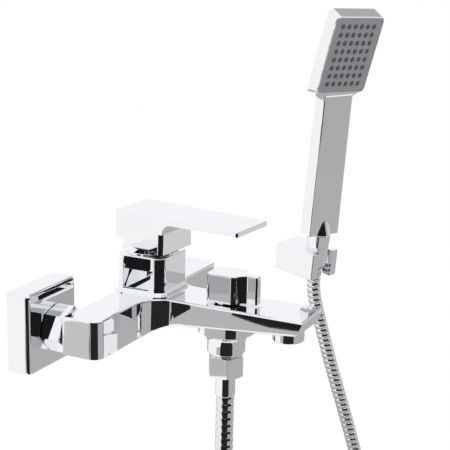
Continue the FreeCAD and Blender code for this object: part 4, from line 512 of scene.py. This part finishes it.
def floor_material():
    """White floor for the camera and for reflections, with the object's soft shadow on it."""
    material, nodes, links, shader = new_material("floor_white")
    shader.inputs["Base Color"].default_value = FLOOR_COLOUR
    shader.inputs["Roughness"].default_value = FLOOR_ROUGHNESS
    share = nodes.new("ShaderNodeMath")
    share.operation = "MULTIPLY"
    share.inputs[1].default_value = FLOOR_WHITE
    links.new(seen_rays(nodes, links), share.inputs[0])
    white = nodes.new("ShaderNodeEmission")
    white.inputs["Strength"].default_value = finishes().backdrop
    mix_surfaces(nodes, links, share.outputs["Value"], shader.outputs["BSDF"],
                 white.outputs["Emission"], nodes["Material Output"])
    return material


def studio_world():
    """White surroundings: full white to the camera and in the metal, softer as light."""
    world = bpy.data.worlds.new("studio")
    bpy.context.scene.world = world
    world.use_nodes = True
    nodes, links = world.node_tree.nodes, world.node_tree.links
    nodes.clear()
    output = nodes.new("ShaderNodeOutputWorld")
    soft = nodes.new("ShaderNodeBackground")
    soft.inputs["Strength"].default_value = SKY_LIGHT
    white = nodes.new("ShaderNodeBackground")
    white.inputs["Color"].default_value = SKY_COLOUR
    white.inputs["Strength"].default_value = finishes().backdrop
    mix_surfaces(nodes, links, seen_rays(nodes, links), soft.outputs["Background"],
                 white.outputs["Background"], output)


def add_floor():
    """A wide level floor under the hose."""
    sheet = bmesh.new()
    bmesh.ops.create_grid(sheet, x_segments=1, y_segments=1, size=FLOOR_SIZE / 2,
                          matrix=Matrix.Translation((0.0, 0.0, FLOOR_HEIGHT)))
    new_object("floor", sheet, floor_material())


def add_card(name, sheet, brightness):
    """Puts a card on the stage, hidden from everything but reflections."""
    card = new_object(name, sheet, glow(name, brightness))
    card.visible_camera = False
    card.visible_diffuse = False
    card.visible_shadow = False


def round_card(name, first, last, edges, brightness):
    """A card between two angles round the centre and two (radius, height) edges."""
    count = max(2, round(abs(last - first) / CARD_STEP))
    sheet = bmesh.new()
    rows = []
    for k in range(count + 1):
        turn = math.radians(first + (last - first) * k / count)
        out = Vector((-math.cos(turn), -math.sin(turn), 0.0))
        rows.append([sheet.verts.new(CARD_CENTRE + out * radius + Vector((0.0, 0.0, height)))
                     for radius, height in edges])
    for row, following in zip(rows, rows[1:]):
        sheet.faces.new((row[0], following[0], following[1], row[1]))
    add_card(name, sheet, brightness)


def face_card(name, height, corners, brightness):
    """A level card with these corners."""
    sheet = bmesh.new()
    sheet.faces.new([sheet.verts.new((x, y, height)) for x, y in corners])
    add_card(name, sheet, brightness)


def area_lamp(name, place, aim, power, width, height):
    """A soft rectangular lamp that reflections don't show."""
    lamp = bpy.data.lights.new(name, "AREA")
    lamp.shape = "RECTANGLE"
    lamp.size, lamp.size_y = width, height
    lamp.energy = power
    holder = bpy.data.objects.new(name, lamp)
    holder.location = place
    holder.rotation_euler = (Vector(aim) - Vector(place)).to_track_quat("-Z", "Y").to_euler()
    holder.visible_glossy = False
    bpy.context.scene.collection.objects.link(holder)


def add_camera(scene):
    """The camera at the photograph's place and angle."""
    camera = bpy.data.objects.new("camera", bpy.data.cameras.new("camera"))
    camera.data.lens = CAMERA_LENS
    camera.data.sensor_width = CAMERA_SENSOR
    camera.data.clip_start = CAMERA_NEAR
    camera.data.clip_end = CAMERA_FAR
    basis = Matrix((CAMERA_RIGHT, CAMERA_UP, CAMERA_BACK)).transposed()
    camera.matrix_world = Matrix.Translation(CAMERA_PLACE) @ basis.to_4x4()
    scene.collection.objects.link(camera)
    scene.camera = camera


class MIXER_OT_stage(bpy.types.Operator):
    """Pale floor, white surroundings, studio cards, soft lamps and the camera"""
    bl_idname = "mixer.stage"
    bl_label = "Stage"

    def execute(self, context):
        studio_world()
        add_floor()
        for name, first, last, radius, low, high, brightness in WALL_CARDS:
            round_card(name, first, last, ((radius, low), (radius, high)), brightness)
        for name, first, last, inner, outer, brightness in LOW_CARDS:
            edges = ((inner, LOW_HEIGHT), (outer, LOW_HEIGHT))
            round_card(name, first, last, edges, brightness)
        for name, height, corners, brightness in FACE_CARDS:
            face_card(name, height, corners, brightness)
        for name, place, aim, power, width, height in LAMPS:
            area_lamp(name, place, aim, power, width, height)
        add_camera(context.scene)
        context.scene.view_settings.view_transform = "Standard"
        return {"FINISHED"}


class MIXER_PT_panel(bpy.types.Panel):
    """Shows the settings, and the steps that dress the mixer"""
    bl_idname = "MIXER_PT_panel"
    bl_label = "Bath mixer"
    bl_space_type = "VIEW_3D"
    bl_region_type = "UI"
    bl_category = "Bath mixer"

    def draw(self, context):
        layout = self.layout
        for settings in (context.scene.mixer_sizes, context.scene.mixer_finishes):
            for name in settings.__annotations__:
                layout.prop(settings, name)
        for step in STEPS:
            layout.operator(step.bl_idname)


STEPS = (MIXER_OT_supply, MIXER_OT_casting, MIXER_OT_cartridge, MIXER_OT_lever, MIXER_OT_diverter,
         MIXER_OT_outlets, MIXER_OT_hose, MIXER_OT_bracket, MIXER_OT_handset, MIXER_OT_stage)
CLASSES = (MixerSizes, MixerFinishes, *STEPS, MIXER_PT_panel)


def register():
    """Adds the settings, the steps and the panel."""
    for cls in CLASSES:
        bpy.utils.register_class(cls)
    bpy.types.Scene.mixer_sizes = PointerProperty(type=MixerSizes)
    bpy.types.Scene.mixer_finishes = PointerProperty(type=MixerFinishes)


def unregister():
    """Takes out what register adds."""
    del bpy.types.Scene.mixer_finishes
    del bpy.types.Scene.mixer_sizes
    for cls in reversed(CLASSES):
        bpy.utils.unregister_class(cls)


def main():
    """Runs every step."""
    register()
    for step in STEPS:
        group, name = step.bl_idname.split(".")
        getattr(getattr(bpy.ops, group), name)()


if __name__ == "__main__":
    main()
